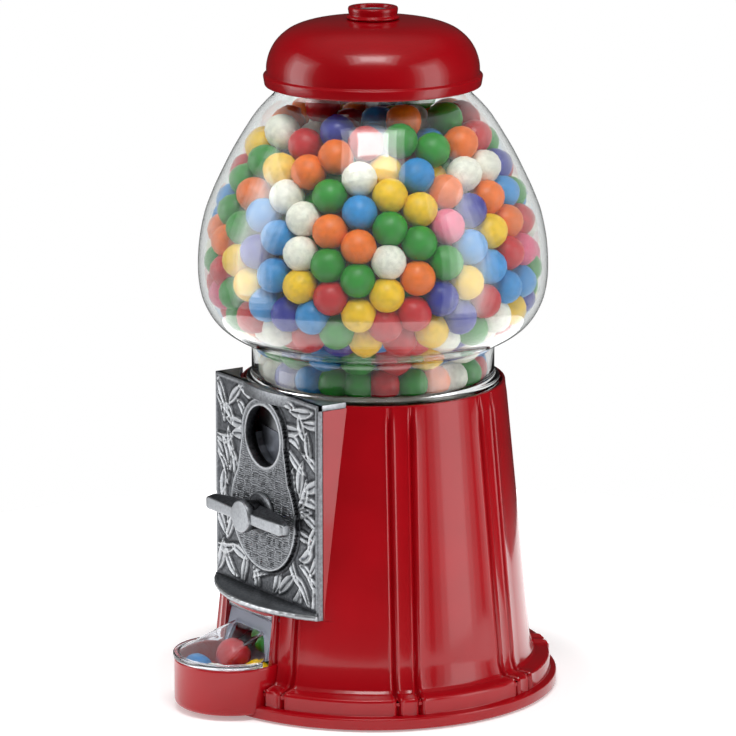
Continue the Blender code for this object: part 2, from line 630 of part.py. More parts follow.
def mechanism():
    """Handle, spindle, coin wheel and drive gear, and the fixed plate and bush they run in."""
    front = PLATE_FACE + BOSS_HEIGHT
    axis = (0, SHAFT_Z)
    bush = rod_along_y("shaft_bush", BUSH_RADIUS, front + GAP + 2.2, front + GAP, axis, "pewter")
    add(bush, rod_along_y("bush_sleeve", BUSH_RADIUS - 2, front + 1, PLATE_BACK, axis))
    cut(bush, rod_along_y("bush_bore", SHAFT_RADIUS + GAP, front + 5, 0, axis, steps=24))
    spindle_front = PLATE_FACE + HANDLE_STANDOFF - 3
    spindle = rod_along_y("spindle", SHAFT_RADIUS, spindle_front, GEAR_BACK - 5.5, axis,
                          "zinc_plated_steel", 24)
    handle = handle_body(front + GAP + 2.2 + RUN, spindle_front)
    wheel = rod_along_y("coin_wheel", GEAR_RADIUS, COIN_WHEEL_FRONT,
                        COIN_WHEEL_FRONT - COIN_WHEEL_THICKNESS, axis,
                        "zinc_plated_steel", 48)
    cut(wheel, rod_along_y("coin_notch", COIN_HOLE_RADIUS - 0.3, 99, 0, (0, COIN_HOLE_Z)))
    cut(wheel, rod_along_y("coin_wheel_bore", SHAFT_RADIUS + GAP, 99, 0, axis, steps=24))
    gear = drive_gear(axis)
    nut = prism("gear_nut", [(x, z + SHAFT_Z) for x, z in hexagon(9)], GEAR_BACK - 4, GEAR_BACK - GAP,
                facing_front,
                "zinc_plated_steel")
    cut(nut, rod_along_y("gear_nut_bore", SHAFT_RADIUS + GAP, 99, 0, axis, steps=24))
    hang_on_axis("handle_axis", (0, -front, SHAFT_Z), [handle, spindle, wheel, gear, nut])


def handle_body(back, spindle_front):
    """The wing handle: a round hub with two wings that widen towards their ends."""
    front = PLATE_FACE + HANDLE_STANDOFF
    hub = rod_along_y("handle", 6.0, front, back, (0, SHAFT_Z), "pewter", 40)
    end = HANDLE_HALF_LENGTH
    outline = [(-end + 1, -3.2), (0, -2.2), (end - 1, -3.2), (end, -2), (end, 2), (end - 1, 3.2),
               (0, 2.2),
               (-end + 1, 3.2), (-end, 2), (-end, -2)]
    outline = [(x, z + SHAFT_Z) for x, z in outline]
    add(hub, prism("wings", outline, front - 7, front - 1, facing_front))
    cut(hub, rod_along_y("handle_socket", SHAFT_RADIUS + GAP, spindle_front + GAP, 0, (0, SHAFT_Z),
                         steps=24))
    return hub


def drive_gear(axis):
    """The spur gear behind the mechanism plate; its teeth reach up to the dispensing wheel's crown."""
    root = GEAR_RADIUS - TOOTH_HEIGHT
    pitch = 360 / GEAR_TEETH
    outline = []
    for tooth in range(GEAR_TEETH):
        middle = 90 + pitch * (tooth + 0.5)
        for radius, share in ((root, -0.30), (GEAR_RADIUS, -0.14), (GEAR_RADIUS, 0.14), (root, 0.30)):
            turn = math.radians(middle + pitch * share)
            outline.append((radius * math.cos(turn), radius * math.sin(turn) + SHAFT_Z))
    gear = prism("drive_gear", outline, GEAR_BACK, GEAR_FRONT, facing_front, "ivory_acetal")
    cut(gear, rod_along_y("gear_bore", SHAFT_RADIUS + GAP, 99, 0, axis, steps=24))
    return gear


def mechanism_plate(pivot):
    """The fixed sheet between coin wheel and gear, which backs the coin hole."""
    half = PLATE_HALF_WIDTH - CAST_WALL - GAP
    low, step = PLATE_BOTTOM + CAST_WALL + GAP, HOPPER_TOP - SHEET - GAP
    well = COIN_HOLE_RADIUS + 3.5 - GAP
    high = SEAT_Z - 1 - GAP
    outline = [(-half, low), (half, low), (half, step), (well, step), (well, high), (-well, high),
               (-well, step),
               (-half, step)]
    back = MECHANISM_FRONT - MECHANISM_PLATE_THICKNESS
    plate = prism("mechanism_plate", outline, back, MECHANISM_FRONT, facing_front, "zinc_plated_steel")
    cut(plate, rod_along_y("plate_bore", SHAFT_RADIUS + GAP, 99, 0, (0, SHAFT_Z), steps=24))
    cut(plate, rod_along_y("plate_pin_bore", PAWL_PIN_RADIUS + GAP, 99, 0, pivot, steps=14))
    return plate


def pawl_pieces():
    """The pawl that stops the gear from turning back, on a pin through the mechanism plate."""
    pivot = (GEAR_RADIUS * 0.80, SHAFT_Z - GEAR_RADIUS * 0.86)
    reach = GEAR_RADIUS + RUN
    touch = math.radians(-68)
    tip = (reach * math.cos(touch), SHAFT_Z + reach * math.sin(touch))
    along = Vector((tip[0] - pivot[0], tip[1] - pivot[1])).normalized()
    across = Vector((-along.y, along.x))
    hub = PAWL_HUB_RADIUS
    corners = [Vector(pivot) + across * hub * 0.8, Vector(tip) + across * 2.4, Vector(tip) + across * 0.4,
               Vector(pivot) - across * hub * 0.6]
    front, back = GEAR_FRONT - 0.8, GEAR_BACK + 0.8
    pawl = rod_along_y("pawl", hub, front, back, pivot, "zinc_plated_steel", 20)
    add(pawl, prism("pawl_arm", [tuple(corner) for corner in corners], back + 0.1, front - 0.1,
                    facing_front))
    cut(pawl, rod_along_y("pawl_bore", PAWL_PIN_RADIUS + GAP, 99, 0, pivot, steps=14))
    rod_along_y("pawl_pin", PAWL_PIN_RADIUS, COIN_WHEEL_FRONT - COIN_WHEEL_THICKNESS - GAP, back - 0.6,
                pivot,
                "zinc_plated_steel", 14)
    hang_on_axis("pawl_axis", (pivot[0], -front, pivot[1]), [pawl])
    return pivot


def chute_slide():
    """The bent sheet that carries a ball from under the wheel to the mouth of the chute."""
    half = CHUTE_HALF_WIDTH - 2.0
    low = BOTTOM_PLATE_Z + BOTTOM_PLATE_THICKNESS + GAP
    mouth = FLAP_LEG_Y + 2.4
    bend = -GEAR_BACK + 4
    top = (-POCKET_CIRCLE + POCKET_RADIUS + 3, PLATE_BOTTOM + 8)
    path = [(top[0], low), top, (bend, SILL_HEIGHT + 12), (mouth, SILL_HEIGHT + 1.6)]
    under = [(top[0] - SHEET * 0.6, top[1] - 3.2), (bend, SILL_HEIGHT + 12 - SHEET),
             (mouth, SILL_HEIGHT + 1.6 - SHEET)]
    outline = path + under[::-1] + [(top[0] - SHEET * 0.6, low)]
    slide = prism("chute_slide", outline, -half, half, facing_side, "zinc_plated_steel")
    for side in (-1, 1):
        wall = path[1:] + [(mouth, SILL_HEIGHT + 5.6), (bend, SILL_HEIGHT + 17), (top[0], top[1] + 4)]
        inner, outer = sorted((side * (half - 1.0), side * half))
        add(slide, prism(f"slide_wall_{side}", wall, inner, outer, facing_side))


def chute_flap():
    """The clear flap: a window in the mouth, an arch at its foot and a roof over the cup."""
    half = CHUTE_HALF_WIDTH - 1.2
    low, high = RIM_TOP, FLAP_PIN_Z + 2
    lean = (FLAP_PIN_Y - FLAP_LEG_Y) / (FLAP_PIN_Z - low)

    def on_window(x, z, depth):
        return (x, FLAP_PIN_Y - (FLAP_PIN_Z - z) * lean - depth, z)

    arch_outline = [(-half, low), (-ARCH_HALF_WIDTH, low)]
    for step in range(1, 16):
        turn = math.pi * (1 - step / 16)
        arch_outline.append((ARCH_HALF_WIDTH * math.cos(turn), low + ARCH_RISE * math.sin(turn)))
    arch_outline += [(ARCH_HALF_WIDTH, low), (half, low), (half, high), (-half, high)]
    thick = FLAP_THICKNESS / 2
    flap = prism("chute_flap", arch_outline, -thick, thick, on_window, "clear_plastic")
    add(flap, prism("knuckle", disc(FLAP_PIN_RADIUS + 1.6, (FLAP_PIN_Y, FLAP_PIN_Z), 20), -half, half,
                    facing_side))
    add(flap, roof(on_window, low))
    add(flap, flap_rim(low))
    cut(flap, prism("knuckle_bore", disc(FLAP_PIN_RADIUS + 0.25, (FLAP_PIN_Y, FLAP_PIN_Z), 16),
                    -half - 1, half + 1,
                    facing_side))
    hang_on_axis("flap_axis", (0, FLAP_PIN_Y, FLAP_PIN_Z), [flap])


def roof(on_window, low):
    """The sloping shell from the arch down to the round rim."""
    outer = CUP_RADIUS - 1.0
    steps = 16
    rows = []
    for lift in (FLAP_THICKNESS, 0.3):
        for share in (0, 1):
            row = []
            for step in range(steps + 1):
                turn = math.pi * step / steps
                width = ARCH_HALF_WIDTH + 1.2
                start = on_window(width * math.cos(turn), low + (ARCH_RISE + 1) * math.sin(turn) + lift * 0.8, 0)
                end = (outer * math.cos(turn), -CUP_CENTRE - outer * math.sin(turn), low + lift)
                row.append(tuple(a + (b - a) * share for a, b in zip(start, end)))
            rows.append(row)
    points = [point for row in rows for point in row]
    width = steps + 1
    top_in, top_out, low_in, low_out = (range(i * width, (i + 1) * width) for i in range(4))
    faces = []
    for one, two in ((top_in, top_out), (top_out, low_out), (low_out, low_in), (low_in, top_in)):
        faces += [[one[i], one[i + 1], two[i + 1], two[i]] for i in range(steps)]
    for end in (0, -1):
        faces.append([top_in[end], top_out[end], low_out[end], low_in[end]])
    return mesh_object("roof", points, faces)


def flap_rim(low):
    """The flat rim that lies on the cup's edge."""
    outer, inner = CUP_RADIUS, CUP_RADIUS - 2.6
    centre = (0, -CUP_CENTRE)
    outline = arc(centre, outer, -180, 0, 32) + arc(centre, inner, 0, -180, 32)
    return prism("flap_rim", outline, low, low + 2, lying)


def flap_pin():
    """The steel pin that the flap swings on."""
    half = CHUTE_HALF_WIDTH + 2.5
    outline = disc(FLAP_PIN_RADIUS, (FLAP_PIN_Y, FLAP_PIN_Z), 16)
    prism("flap_pin", outline, -half, half, facing_side, "zinc_plated_steel", True)


def main():
    clear_scene()
    base_housing()
    bottom_pieces()
    centre_rod()
    hopper_plate()
    dispensing_wheel()
    ball_baffle()
    globe_pieces()
    lid_pieces()
    front_plate()
    mechanism()
    mechanism_plate(pawl_pieces())
    chute_slide()
    chute_flap()
    flap_pin()


main()
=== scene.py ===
# %% [markdown]
# # A coin-operated gumball machine
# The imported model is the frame: it fixes every size and place, and it never changes here.
# Each cell below adds one piece or one finish round it. Lengths are in millimetres until a mesh
# is made, because that is how such a machine is drawn. The machine's axis is Z, and its front
# looks along -Y.

# %% Load the frame
import json
import math

import bmesh
import bpy
import numpy as np
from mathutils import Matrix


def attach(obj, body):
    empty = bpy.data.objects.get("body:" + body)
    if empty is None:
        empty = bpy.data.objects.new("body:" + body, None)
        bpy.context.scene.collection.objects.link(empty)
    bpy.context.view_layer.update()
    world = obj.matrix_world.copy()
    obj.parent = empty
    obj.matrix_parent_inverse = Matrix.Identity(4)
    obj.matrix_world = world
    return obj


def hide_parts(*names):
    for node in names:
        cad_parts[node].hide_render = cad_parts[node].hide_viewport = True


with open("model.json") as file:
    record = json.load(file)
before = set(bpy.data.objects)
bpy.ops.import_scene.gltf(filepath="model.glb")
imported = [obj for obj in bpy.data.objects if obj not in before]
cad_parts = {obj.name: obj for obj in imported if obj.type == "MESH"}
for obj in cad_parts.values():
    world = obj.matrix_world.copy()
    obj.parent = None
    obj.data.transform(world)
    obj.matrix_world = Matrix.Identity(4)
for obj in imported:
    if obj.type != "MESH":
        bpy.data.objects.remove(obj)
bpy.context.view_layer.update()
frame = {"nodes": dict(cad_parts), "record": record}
NODES = frame["nodes"]
MM = 0.001


# %% [markdown]
# ## Meshes from grids
# A surface is a grid of points: rows along a profile, columns round it or along it. numpy works
# out all the points at once, and the quads follow from the grid's own numbering.

# %% Turn a grid of points into a piece
def spread(start, end, count):
    """Evenly spaced numbers, both ends included."""
    return np.linspace(start, end, count)


def quads_of(rows, cols, wrap_rows=False, wrap_cols=False):
    """Corner numbers of a grid's quads; wrapping joins the last row or column to the first."""
    index = np.arange(rows * cols).reshape(rows, cols)
    if wrap_rows:
        index = np.vstack([index, index[:1]])
    if wrap_cols:
        index = np.hstack([index, index[:, :1]])
    corners = [index[:-1, :-1], index[:-1, 1:], index[1:, 1:], index[1:, :-1]]
    return np.stack(corners, -1).reshape(-1, 4)


def piece(name, points, faces, body, slot, finish, replaces=(), sharp=35, attributes=None):
    """Make a piece from points in millimetres, close its doubles, face it outwards and ride it."""
    mesh = bpy.data.meshes.new(name)
    mesh.from_pydata((np.asarray(points, float).reshape(-1, 3) * MM).tolist(), [], list(map(list, faces)))
    for label, values in (attributes or {}).items():
        layer = mesh.attributes.new(label, "FLOAT", "POINT")
        layer.data.foreach_set("value", np.asarray(values, np.float32).ravel())
    shape = bmesh.new()
    shape.from_mesh(mesh)
    bmesh.ops.remove_doubles(shape, verts=shape.verts, dist=2e-6)
    bmesh.ops.dissolve_degenerate(shape, edges=shape.edges, dist=1e-7)
    bmesh.ops.recalc_face_normals(shape, faces=shape.faces)
    shape.to_mesh(mesh)
    open_edges = sum(edge.is_boundary for edge in shape.edges)
    shape.free()
    mesh.shade_smooth()
    mesh.set_sharp_from_angle(angle=math.radians(sharp))
    mesh.materials.append(finish)
    made = bpy.data.objects.new(name, mesh)
    bpy.context.collection.objects.link(made)
    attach(made, body)
    if replaces:
        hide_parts(*replaces)
    print(f"{name}: {len(mesh.polygons)} faces, {open_edges} open edges")
    return made


def thicken(made, thickness, sharp=35):
    """Give an open sheet a wall on its inner side, as real faces."""
    wall = made.modifiers.new("wall", "SOLIDIFY")
    wall.thickness = thickness * MM
    wall.offset = -1
    graph = bpy.context.evaluated_depsgraph_get()
    mesh = bpy.data.meshes.new_from_object(made.evaluated_get(graph))
    made.modifiers.clear()
    made.data = mesh
    mesh.set_sharp_from_angle(angle=math.radians(sharp))


# %% [markdown]
# ## Profiles
# A casting has no sharp corners, so a profile is a few corner points, each rounded by a small
# quadratic curve. A blown shape such as the globe is a smooth curve through points instead.

# %% Round the corners of a profile, or run a smooth curve through points
def rounded(corners, radius, steps=4, closed=False):
    """Each corner becomes (1-t)^2 A + 2t(1-t) P + t^2 B, with A and B up to a radius from P."""
    corners = np.asarray(corners, float)
    count = len(corners)
    radii = np.full(count, float(radius)) if np.isscalar(radius) else np.asarray(radius, float)
    share = spread(0, 1, steps + 1)[:, None]
    out = []
    for i, corner in enumerate(corners):
        if not closed and i in (0, count - 1):
            out.append(corner[None])
            continue
        before, after = corners[i - 1] - corner, corners[(i + 1) % count] - corner
        far_b, far_a = np.linalg.norm(before), np.linalg.norm(after)
        reach = min(radii[i], 0.49 * far_b, 0.49 * far_a)
        start, end = corner + before / far_b * reach, corner + after / far_a * reach
        out.append((1 - share) ** 2 * start + 2 * share * (1 - share) * corner + share ** 2 * end)
    return np.vstack(out)


def smooth_curve(points, steps=5):
    """Catmull-Rom: each span is the cubic whose end slopes are half the step between neighbours."""
    points = np.asarray(points, float)
    padded = np.vstack([2 * points[0] - points[1], points, 2 * points[-1] - points[-2]])
    t = spread(0, 1, steps + 1)[:-1, None]
    spans = []
    for a, b, c, d in zip(padded, padded[1:], padded[2:], padded[3:]):
        spans.append(0.5 * (2 * b + (c - a) * t + (2 * a - 5 * b + 4 * c - d) * t ** 2
                            + (3 * b - a - 3 * c + d) * t ** 3))
    return np.vstack(spans + [points[-1:]])


def revolved(name, profile, body, slot, finish, centre=(0, 0), along="z", segments=96, **options):
    """Turn a closed profile of (radius, height) about a vertical axis, or one that looks forward."""
    profile = np.asarray(profile, float)
    turn = spread(0, 2 * np.pi, segments + 1)[:-1]
    radius, height = profile[:, :1], np.repeat(profile[:, 1:], segments, 1)
    a, b = centre[0] + radius * np.cos(turn), centre[1] + radius * np.sin(turn)
    points = np.stack([a, b, height] if along == "z" else [a, -height, b], -1)
    faces = quads_of(len(profile), segments, wrap_rows=True, wrap_cols=True)
    return piece(name, points, faces, body, slot, finish, **options)


def lofted(name, sections, body, slot, finish, **options):
    """Join closed sections of equal length, one per row, and cap both ends."""
    sections = np.asarray(sections, float)
    rows, cols = sections.shape[:2]
    faces = quads_of(rows, cols, wrap_cols=True).tolist()
    faces += [list(range(cols)), list(range((rows - 1) * cols, rows * cols))]
    return piece(name, sections, faces, body, slot, finish, **options)


# %% [markdown]
# ## Finishes
# One function turns an sRGB colour to linear, and one adds a node. A number that is the same all
# over a surface is set on the shader itself.

# %% Tools for finishes
def colour(code):
    """sRGB hex to linear: c/12.92 below 0.04045, else ((c+0.055)/1.055)^2.4."""
    parts = [int(code[i:i + 2], 16) / 255 for i in (1, 3, 5)]
    return (*[c / 12.92 if c <= 0.04045 else ((c + 0.055) / 1.055) ** 2.4 for c in parts], 1.0)


def add_node(tree, kind, inputs=None, **settings):
    """Add a node, set its properties, and fill or link its inputs."""
    made = tree.nodes.new(kind)
    for label, value in settings.items():
        setattr(made, label, value)
    for label, value in (inputs or {}).items():
        if isinstance(value, bpy.types.NodeSocket):
            tree.links.new(value, made.inputs[label])
        else:
            made.inputs[label].default_value = value
    return made


def new_finish(name, **sockets):
    """A Principled material with constants on its sockets; returns material, tree and shader."""
    material = bpy.data.materials.new(name)
    material.use_nodes = True
    shader = material.node_tree.nodes["Principled BSDF"]
    for label, value in sockets.items():
        shader.inputs[label.replace("_", " ")].default_value = value
    return material, material.node_tree, shader


def grain(tree, size, detail=3.0, roughness=0.5):
    """Noise on Object coordinates whose blobs are size millimetres across."""
    place = add_node(tree, "ShaderNodeTexCoord").outputs["Object"]
    return add_node(tree, "ShaderNodeTexNoise", {"Vector": place, "Scale": 1 / (size * MM),
                                                 "Detail": detail, "Roughness": roughness})


def ramp(tree, value, stops):
    """Colour ramp from (position, hex) stops."""
    made = add_node(tree, "ShaderNodeValToRGB", {"Fac": value})
    elements = made.color_ramp.elements
    while len(elements) < len(stops):
        elements.new(0.5)
    for element, (position, code) in zip(elements, stops):
        element.position = position
        element.color = colour(code)
    return made.outputs["Color"]


def bumped(tree, shader, height, depth, strength=1.0):
    """Bump the shader by a height in 0..1 that stands for a depth in millimetres."""
    bump = add_node(tree, "ShaderNodeBump",
                    {"Height": height, "Distance": depth * MM, "Strength": strength})
    tree.links.new(bump.outputs["Normal"], shader.inputs["Normal"])


# %% [markdown]
# ### Red stove enamel on a zinc casting
# Sprayed enamel is a coloured layer under a clear gloss: a broad soft highlight with a sharp one
# on it. The sprayed film has a faint orange peel, about 1.5 mm from bump to bump.

# %% Red enamel
def red_enamel():
    """Deep red with slow patches under a clear coat."""
    material, tree, shader = new_finish("sprayed_red_enamel", Roughness=0.35, Specular_IOR_Level=0.12,
                                        Coat_Weight=0.85, Coat_Roughness=0.09, Coat_IOR=1.42)
    patches = grain(tree, 24, 2.0).outputs["Fac"]
    tree.links.new(ramp(tree, patches, [(0.3, "#96000B"), (0.7, "#A0000E")]), shader.inputs["Base Color"])
    bumped(tree, shader, grain(tree, 1.5, 1.0).outputs["Fac"], 0.012)
    return material


# %% [markdown]
# ### Antiqued pewter-coloured zinc
# The plate and handle are die-cast, plated, and then wiped with a black wash that stays in the
# hollows. The relief attribute on each vertex says how high it stands, so hollows are black and
# matt, and ridges are rubbed bright. On the rim bow, the handle's wings and the panel's side wall
# it carries painted highlight and painted shade instead. A fine grain mottles both.

# %% Antiqued metal
def antique_metal(name, stops, rough=(0.55, 0.33)):
    """Bare metal whose colour and gloss follow the relief attribute; rough goes from low to high."""
    material, tree, shader = new_finish(name, Metallic=1.0)
    high = add_node(tree, "ShaderNodeAttribute", attribute_name="relief").outputs["Fac"]
    mottle = grain(tree, 1.2, 4.0, 0.65).outputs["Fac"]
    mixed = add_node(tree, "ShaderNodeMath", {0: mottle, 1: 0.35, 2: high}, operation="MULTIPLY_ADD")
    tree.links.new(ramp(tree, mixed.outputs[0], stops), shader.inputs["Base Color"])
    gloss = add_node(tree, "ShaderNodeMapRange", {"Value": high, "To Min": rough[0], "To Max": rough[1]})
    tree.links.new(gloss.outputs["Result"], shader.inputs["Roughness"])
    bumped(tree, shader, grain(tree, 0.7, 4.0, 0.6).outputs["Fac"], 0.05)
    return material


# %% [markdown]
# ### Glass, clear plastic, rubber, plated steel, acetal and sugar
# Blown soda glass has an index of 1.52 and a trace of green. The flap is moulded polystyrene, and
# its window is worn by passing gumballs to a blue-grey haze. Sugar shells are polished with wax,
# so they have a soft sheen over a colour that is a little uneven.

# %% Clear finishes
def clear_finish(name, tint, index, haze, clear=1.0):
    """Real glass to the eye, but lamps shine straight through it, which keeps its shadow light."""
    material, tree, shader = new_finish(name, Base_Color=colour(tint), Roughness=haze, IOR=index,
                                        Transmission_Weight=clear)
    ray = add_node(tree, "ShaderNodeLightPath")
    through = add_node(tree, "ShaderNodeBsdfTransparent", {"Color": colour("#F6FAF9")})
    mixed = add_node(tree, "ShaderNodeMixShader", {0: ray.outputs["Is Shadow Ray"], 1: shader.outputs[0],
                                                   2: through.outputs[0]})
    tree.links.new(mixed.outputs[0], tree.nodes["Material Output"].inputs["Surface"])
    return material


# %% Opaque finishes
def plain_finish(name, low, high, roughness, metallic=0.0, size=3.0, depth=0.03, **sockets):
    """A finish whose colour wanders between two hex values over blobs of one size."""
    material, tree, shader = new_finish(name, Roughness=roughness, Metallic=metallic, **sockets)
    noise = grain(tree, size).outputs["Fac"]
    tree.links.new(ramp(tree, noise, [(0.3, low), (0.7, high)]), shader.inputs["Base Color"])
    bumped(tree, shader, grain(tree, size / 4).outputs["Fac"], depth)
    return material


def sugar_shell():
    """Candy colour from each ball's own tint, faintly mottled, with a waxed sheen."""
    material, tree, shader = new_finish("panned_sugar_shell", Roughness=0.42, Specular_IOR_Level=0.35,
                                        Coat_Weight=0.2, Coat_Roughness=0.22, Subsurface_Weight=0.08,
                                        Subsurface_Scale=0.002)
    tint = add_node(tree, "ShaderNodeAttribute", attribute_name="tint").outputs["Color"]
    mottle = ramp(tree, grain(tree, 2.2, 4.0, 0.6).outputs["Fac"], [(0.35, "#E9E9E9"), (0.6, "#FFFFFF")])
    mixed = add_node(tree, "ShaderNodeMix", {0: 1.0, 6: tint, 7: mottle}, data_type="RGBA",
                     blend_type="MULTIPLY")                                  # 0 factor, 6 and 7 the colours
    tree.links.new(mixed.outputs[2], shader.inputs["Base Color"])            # 2 the mixed colour
    bumped(tree, shader, grain(tree, 1.6, 3.0).outputs["Fac"], 0.03)
    return material


RED = red_enamel()
PEWTER = antique_metal("antiqued_die_cast_zinc", [(0.22, "#111113"), (0.42, "#55575B"), (0.68, "#A0A3A7"),
                                                  (1.0, "#D2D4D6")])
GLASS = clear_finish("blown_soda_glass", "#FBFEFD", 1.52, 0.0)
PLASTIC = clear_finish("moulded_clear_polystyrene", "#F4F6FA", 1.49, 0.03)
PANE = clear_finish("scuffed_clear_polystyrene", "#B9BDCE", 1.49, 0.22, 0.62)
CANDY = sugar_shell()
RUBBER = plain_finish("moulded_black_rubber", "#0E0E0E", "#1A1A1A", 0.7, size=2.0)
ZINC = plain_finish("bright_zinc_plated_steel", "#8E9195", "#B4B7BB", 0.3, 1.0, size=4.0, depth=0.02)
SHEET_GREY = plain_finish("grey_anodised_sheet", "#5C5F66", "#747881", 0.5, 1.0, size=5.0, depth=0.02)
BLACK_STEEL = plain_finish("black_oxide_steel", "#1E1E20", "#2C2C2F", 0.42, 0.8, size=3.0)
ACETAL = plain_finish("ivory_acetal", "#D8D2C0", "#E6E1D2", 0.42, size=6.0)
FINISH_OF = {"red_enamel": RED, "rubber": RUBBER, "zinc_steel": ZINC, "acetal": ACETAL, "candy": CANDY,
             "black_steel": BLACK_STEEL, "globe_glass": GLASS, "clear_plastic": PLASTIC, "pewter": PEWTER}

# %% [markdown]
# Every CAD node gets the finish of its slot, so no piece keeps a flat colour.

# %% Refinish the CAD nodes
for part in frame["record"]["subparts"]:
    node = NODES[part["node"]]
    node.data.materials.clear()
    node.data.materials.append(FINISH_OF[part["material_slot"]])
print("nodes refinished:", len(NODES), "with", len(FINISH_OF), "finishes")

# %% [markdown]
# ## The base casting
# The base is a cone on a skirt and a flange, with a flat-fronted box for the coin mechanism grown
# out of it, and pairs of flutes that run down the cone and over the skirt. All of that is one
# radius for each direction and height, so it is one grid: rows follow the profile, and columns
# follow the flutes and the box's corners, which move round a little as the cone widens.

# %% Sizes of the base
BASE_TOP, RIM_R, FOOT_R, FOOT_Z = 128.0, 53.8, 65.2, 13.8
PLANE_Y, BOX_X, BOX_LOW, BOX_TOP, DROP = 49.4, 38.0, 41.4, 127.3, 0.8
GROUPS = np.array([22.5, 67.5, 112.5, 157.5])
FLUTE_AT, FLUTE_HALF, FLUTE_DEEP, LIP = 4.5, 1.15, 1.45, 0.42
MOUTH_X, MOUTH_LOW = 17.0, 15.0
SEAT_Z = 125.2


def flute_height(across):
    """Groove: -deep cos^2(pi u / 2 half) inside its half width, and a round lip on each side."""
    groove = np.where(across < FLUTE_HALF, np.cos(np.pi * across / (2 * FLUTE_HALF)) ** 2, 0)
    lip = np.exp(-((across - 1.65) / 0.42) ** 2)
    return LIP * lip - FLUTE_DEEP * groove


# %% Columns that follow flutes and corners
def base_columns(radius):
    """Angles from the front for each row, from 0 to 180 degrees, as knots with even steps between."""
    ones = np.ones_like(radius)
    near = np.array([2.5, 2.05, 1.65, 1.3, 1.05, 0.8, 0.55, 0.25])
    offsets = np.concatenate([-near, [0], near[::-1]])
    knots = [(0 * ones, 4), (np.degrees(np.arcsin(MOUTH_X / radius)), 1)]
    corner = math.degrees(math.atan2(BOX_X, PLANE_Y))
    for group in GROUPS:
        for side in (-1, 1):
            for offset in offsets:
                across = side * FLUTE_AT + offset
                knots.append((group + np.degrees(np.arcsin(across / radius)), 1))
        if group == GROUPS[0]:
            crease = np.maximum(np.degrees(np.arcsin(np.minimum(BOX_X / radius, 1))), corner + 0.2)
            knots[-1] = (knots[-1][0], 3)
            knots += [(corner * ones, 2), (crease, 5)]
        else:
            knots[-1] = (knots[-1][0], 8)
    knots.append((180 * ones, 0))
    columns = []
    for (start, steps), (end, _) in zip(knots, knots[1:]):
        columns += [start + (end - start) * step / steps for step in range(steps)]
    return np.stack(columns + [180 * ones], 1)


# %% Rows of the profile, with their own outward direction
foot = rounded([(69.0, DROP), (75.8, DROP), (75.8, 5.5), (73.0, 5.9), (73.0, 12.6), (67.0, 13.1),
                (65.9, 14.4), (64.7, 18.0)], [0, 0.9, 0.8, 0.35, 1.5, 0.35, 0.35, 2.5], 5)
foot_mode = np.zeros(len(foot))
walls = np.concatenate([spread(24, BOX_LOW, 4), spread(BOX_LOW, BOX_TOP, 14)])
wall_mode = np.concatenate([np.zeros(4), np.ones(14)])
rims = np.array([BOX_TOP, 127.55])
rows_z = np.concatenate([foot[:, 1], walls, rims, [127.85, BASE_TOP, BASE_TOP]])
cone = RIM_R + (BASE_TOP - rows_z) / (BASE_TOP - FOOT_Z) * (FOOT_R - RIM_R)
rows_r = np.concatenate([foot[:, 0], cone[len(foot):len(foot) + 20],
                         [RIM_R - 0.1, RIM_R - 0.4, RIM_R - 1.0]])
mode = np.concatenate([foot_mode, wall_mode, [2, 2, 2, 2, 2]])
slope = np.stack([np.gradient(rows_r), np.gradient(rows_z)], 1)
slope /= np.maximum(np.linalg.norm(slope, axis=1, keepdims=True), 1e-9)
outward = np.stack([slope[:, 1], -slope[:, 0]], 1)
fluted = np.where((rows_z > 5.95) & (rows_z < 125.5), np.where(rows_z < 14, 1.25, 1.0), 0.0)
fluted[(rows_r > 73.1) & (rows_z < 6.6)] = 0
outward[mode > 0] = (0.995, 0.1)

# %% The base's surface
half = np.radians(base_columns(rows_r))
turns = np.concatenate([-half[:, ::-1], half[:, 1:-1]], 1)
angle = np.abs(turns)
across = np.full(turns.shape, 99.0)
for group in np.radians(GROUPS):
    sideways = rows_r[:, None] * np.sin(angle - group)
    here = np.abs(angle - group) < 0.35
    across = np.where(here, np.minimum(across, np.abs(np.abs(sideways) - FLUTE_AT)), across)
raised = flute_height(across) * fluted[:, None]
radius = rows_r[:, None] + raised * outward[:, :1]
height = rows_z[:, None] + raised * outward[:, 1:]
plane = PLANE_Y / np.maximum(np.cos(angle), 0.2)
side_wall = BOX_X / np.maximum(np.sin(angle), 0.2)
corner = math.atan2(BOX_X, PLANE_Y)
crease = np.maximum(np.arcsin(np.minimum(BOX_X / rows_r, 1)), corner + math.radians(0.2))[:, None]
boxed = mode[:, None] == 1
radius = np.where(boxed & (angle <= corner + 1e-6), plane, radius)
radius = np.where(boxed & (angle > corner + 1e-6) & (angle <= crease + 1e-6), side_wall, radius)
height = np.where(boxed & (angle <= crease + 1e-6), rows_z[:, None], height)
radius = np.where((mode[:, None] == 2) & (angle <= corner + 1e-6), np.minimum(radius, plane), radius)
height = np.where((plane < RIM_R - 1.9) & (angle < 0.5), np.minimum(height, SEAT_Z), height)
shell = np.stack([radius * np.sin(turns), -radius * np.cos(turns), height], -1)
faces = quads_of(*turns.shape, wrap_cols=True)
middle = shell.reshape(-1, 3)[faces].mean(1)
in_front = middle[:, 1] < -35
sideways, up = np.abs(middle[:, 0]), middle[:, 2]
mouth = in_front & (sideways < MOUTH_X) & (up > MOUTH_LOW) & (up < BOX_LOW - 0.05)
bay = in_front & (sideways < 35.4) & (up > 46) & (up < 111)
well = in_front & (sideways < 16) & (up > 46) & (up < 124)
base = piece("base_shell", shell, faces[~(mouth | bay | well)], "base", "red_enamel", RED,
             replaces=["base_housing"], sharp=28)
thicken(base, 1.8, 28)

# %% [markdown]
# The globe's seat, the cheeks of the chute and the cup belong to the same casting.

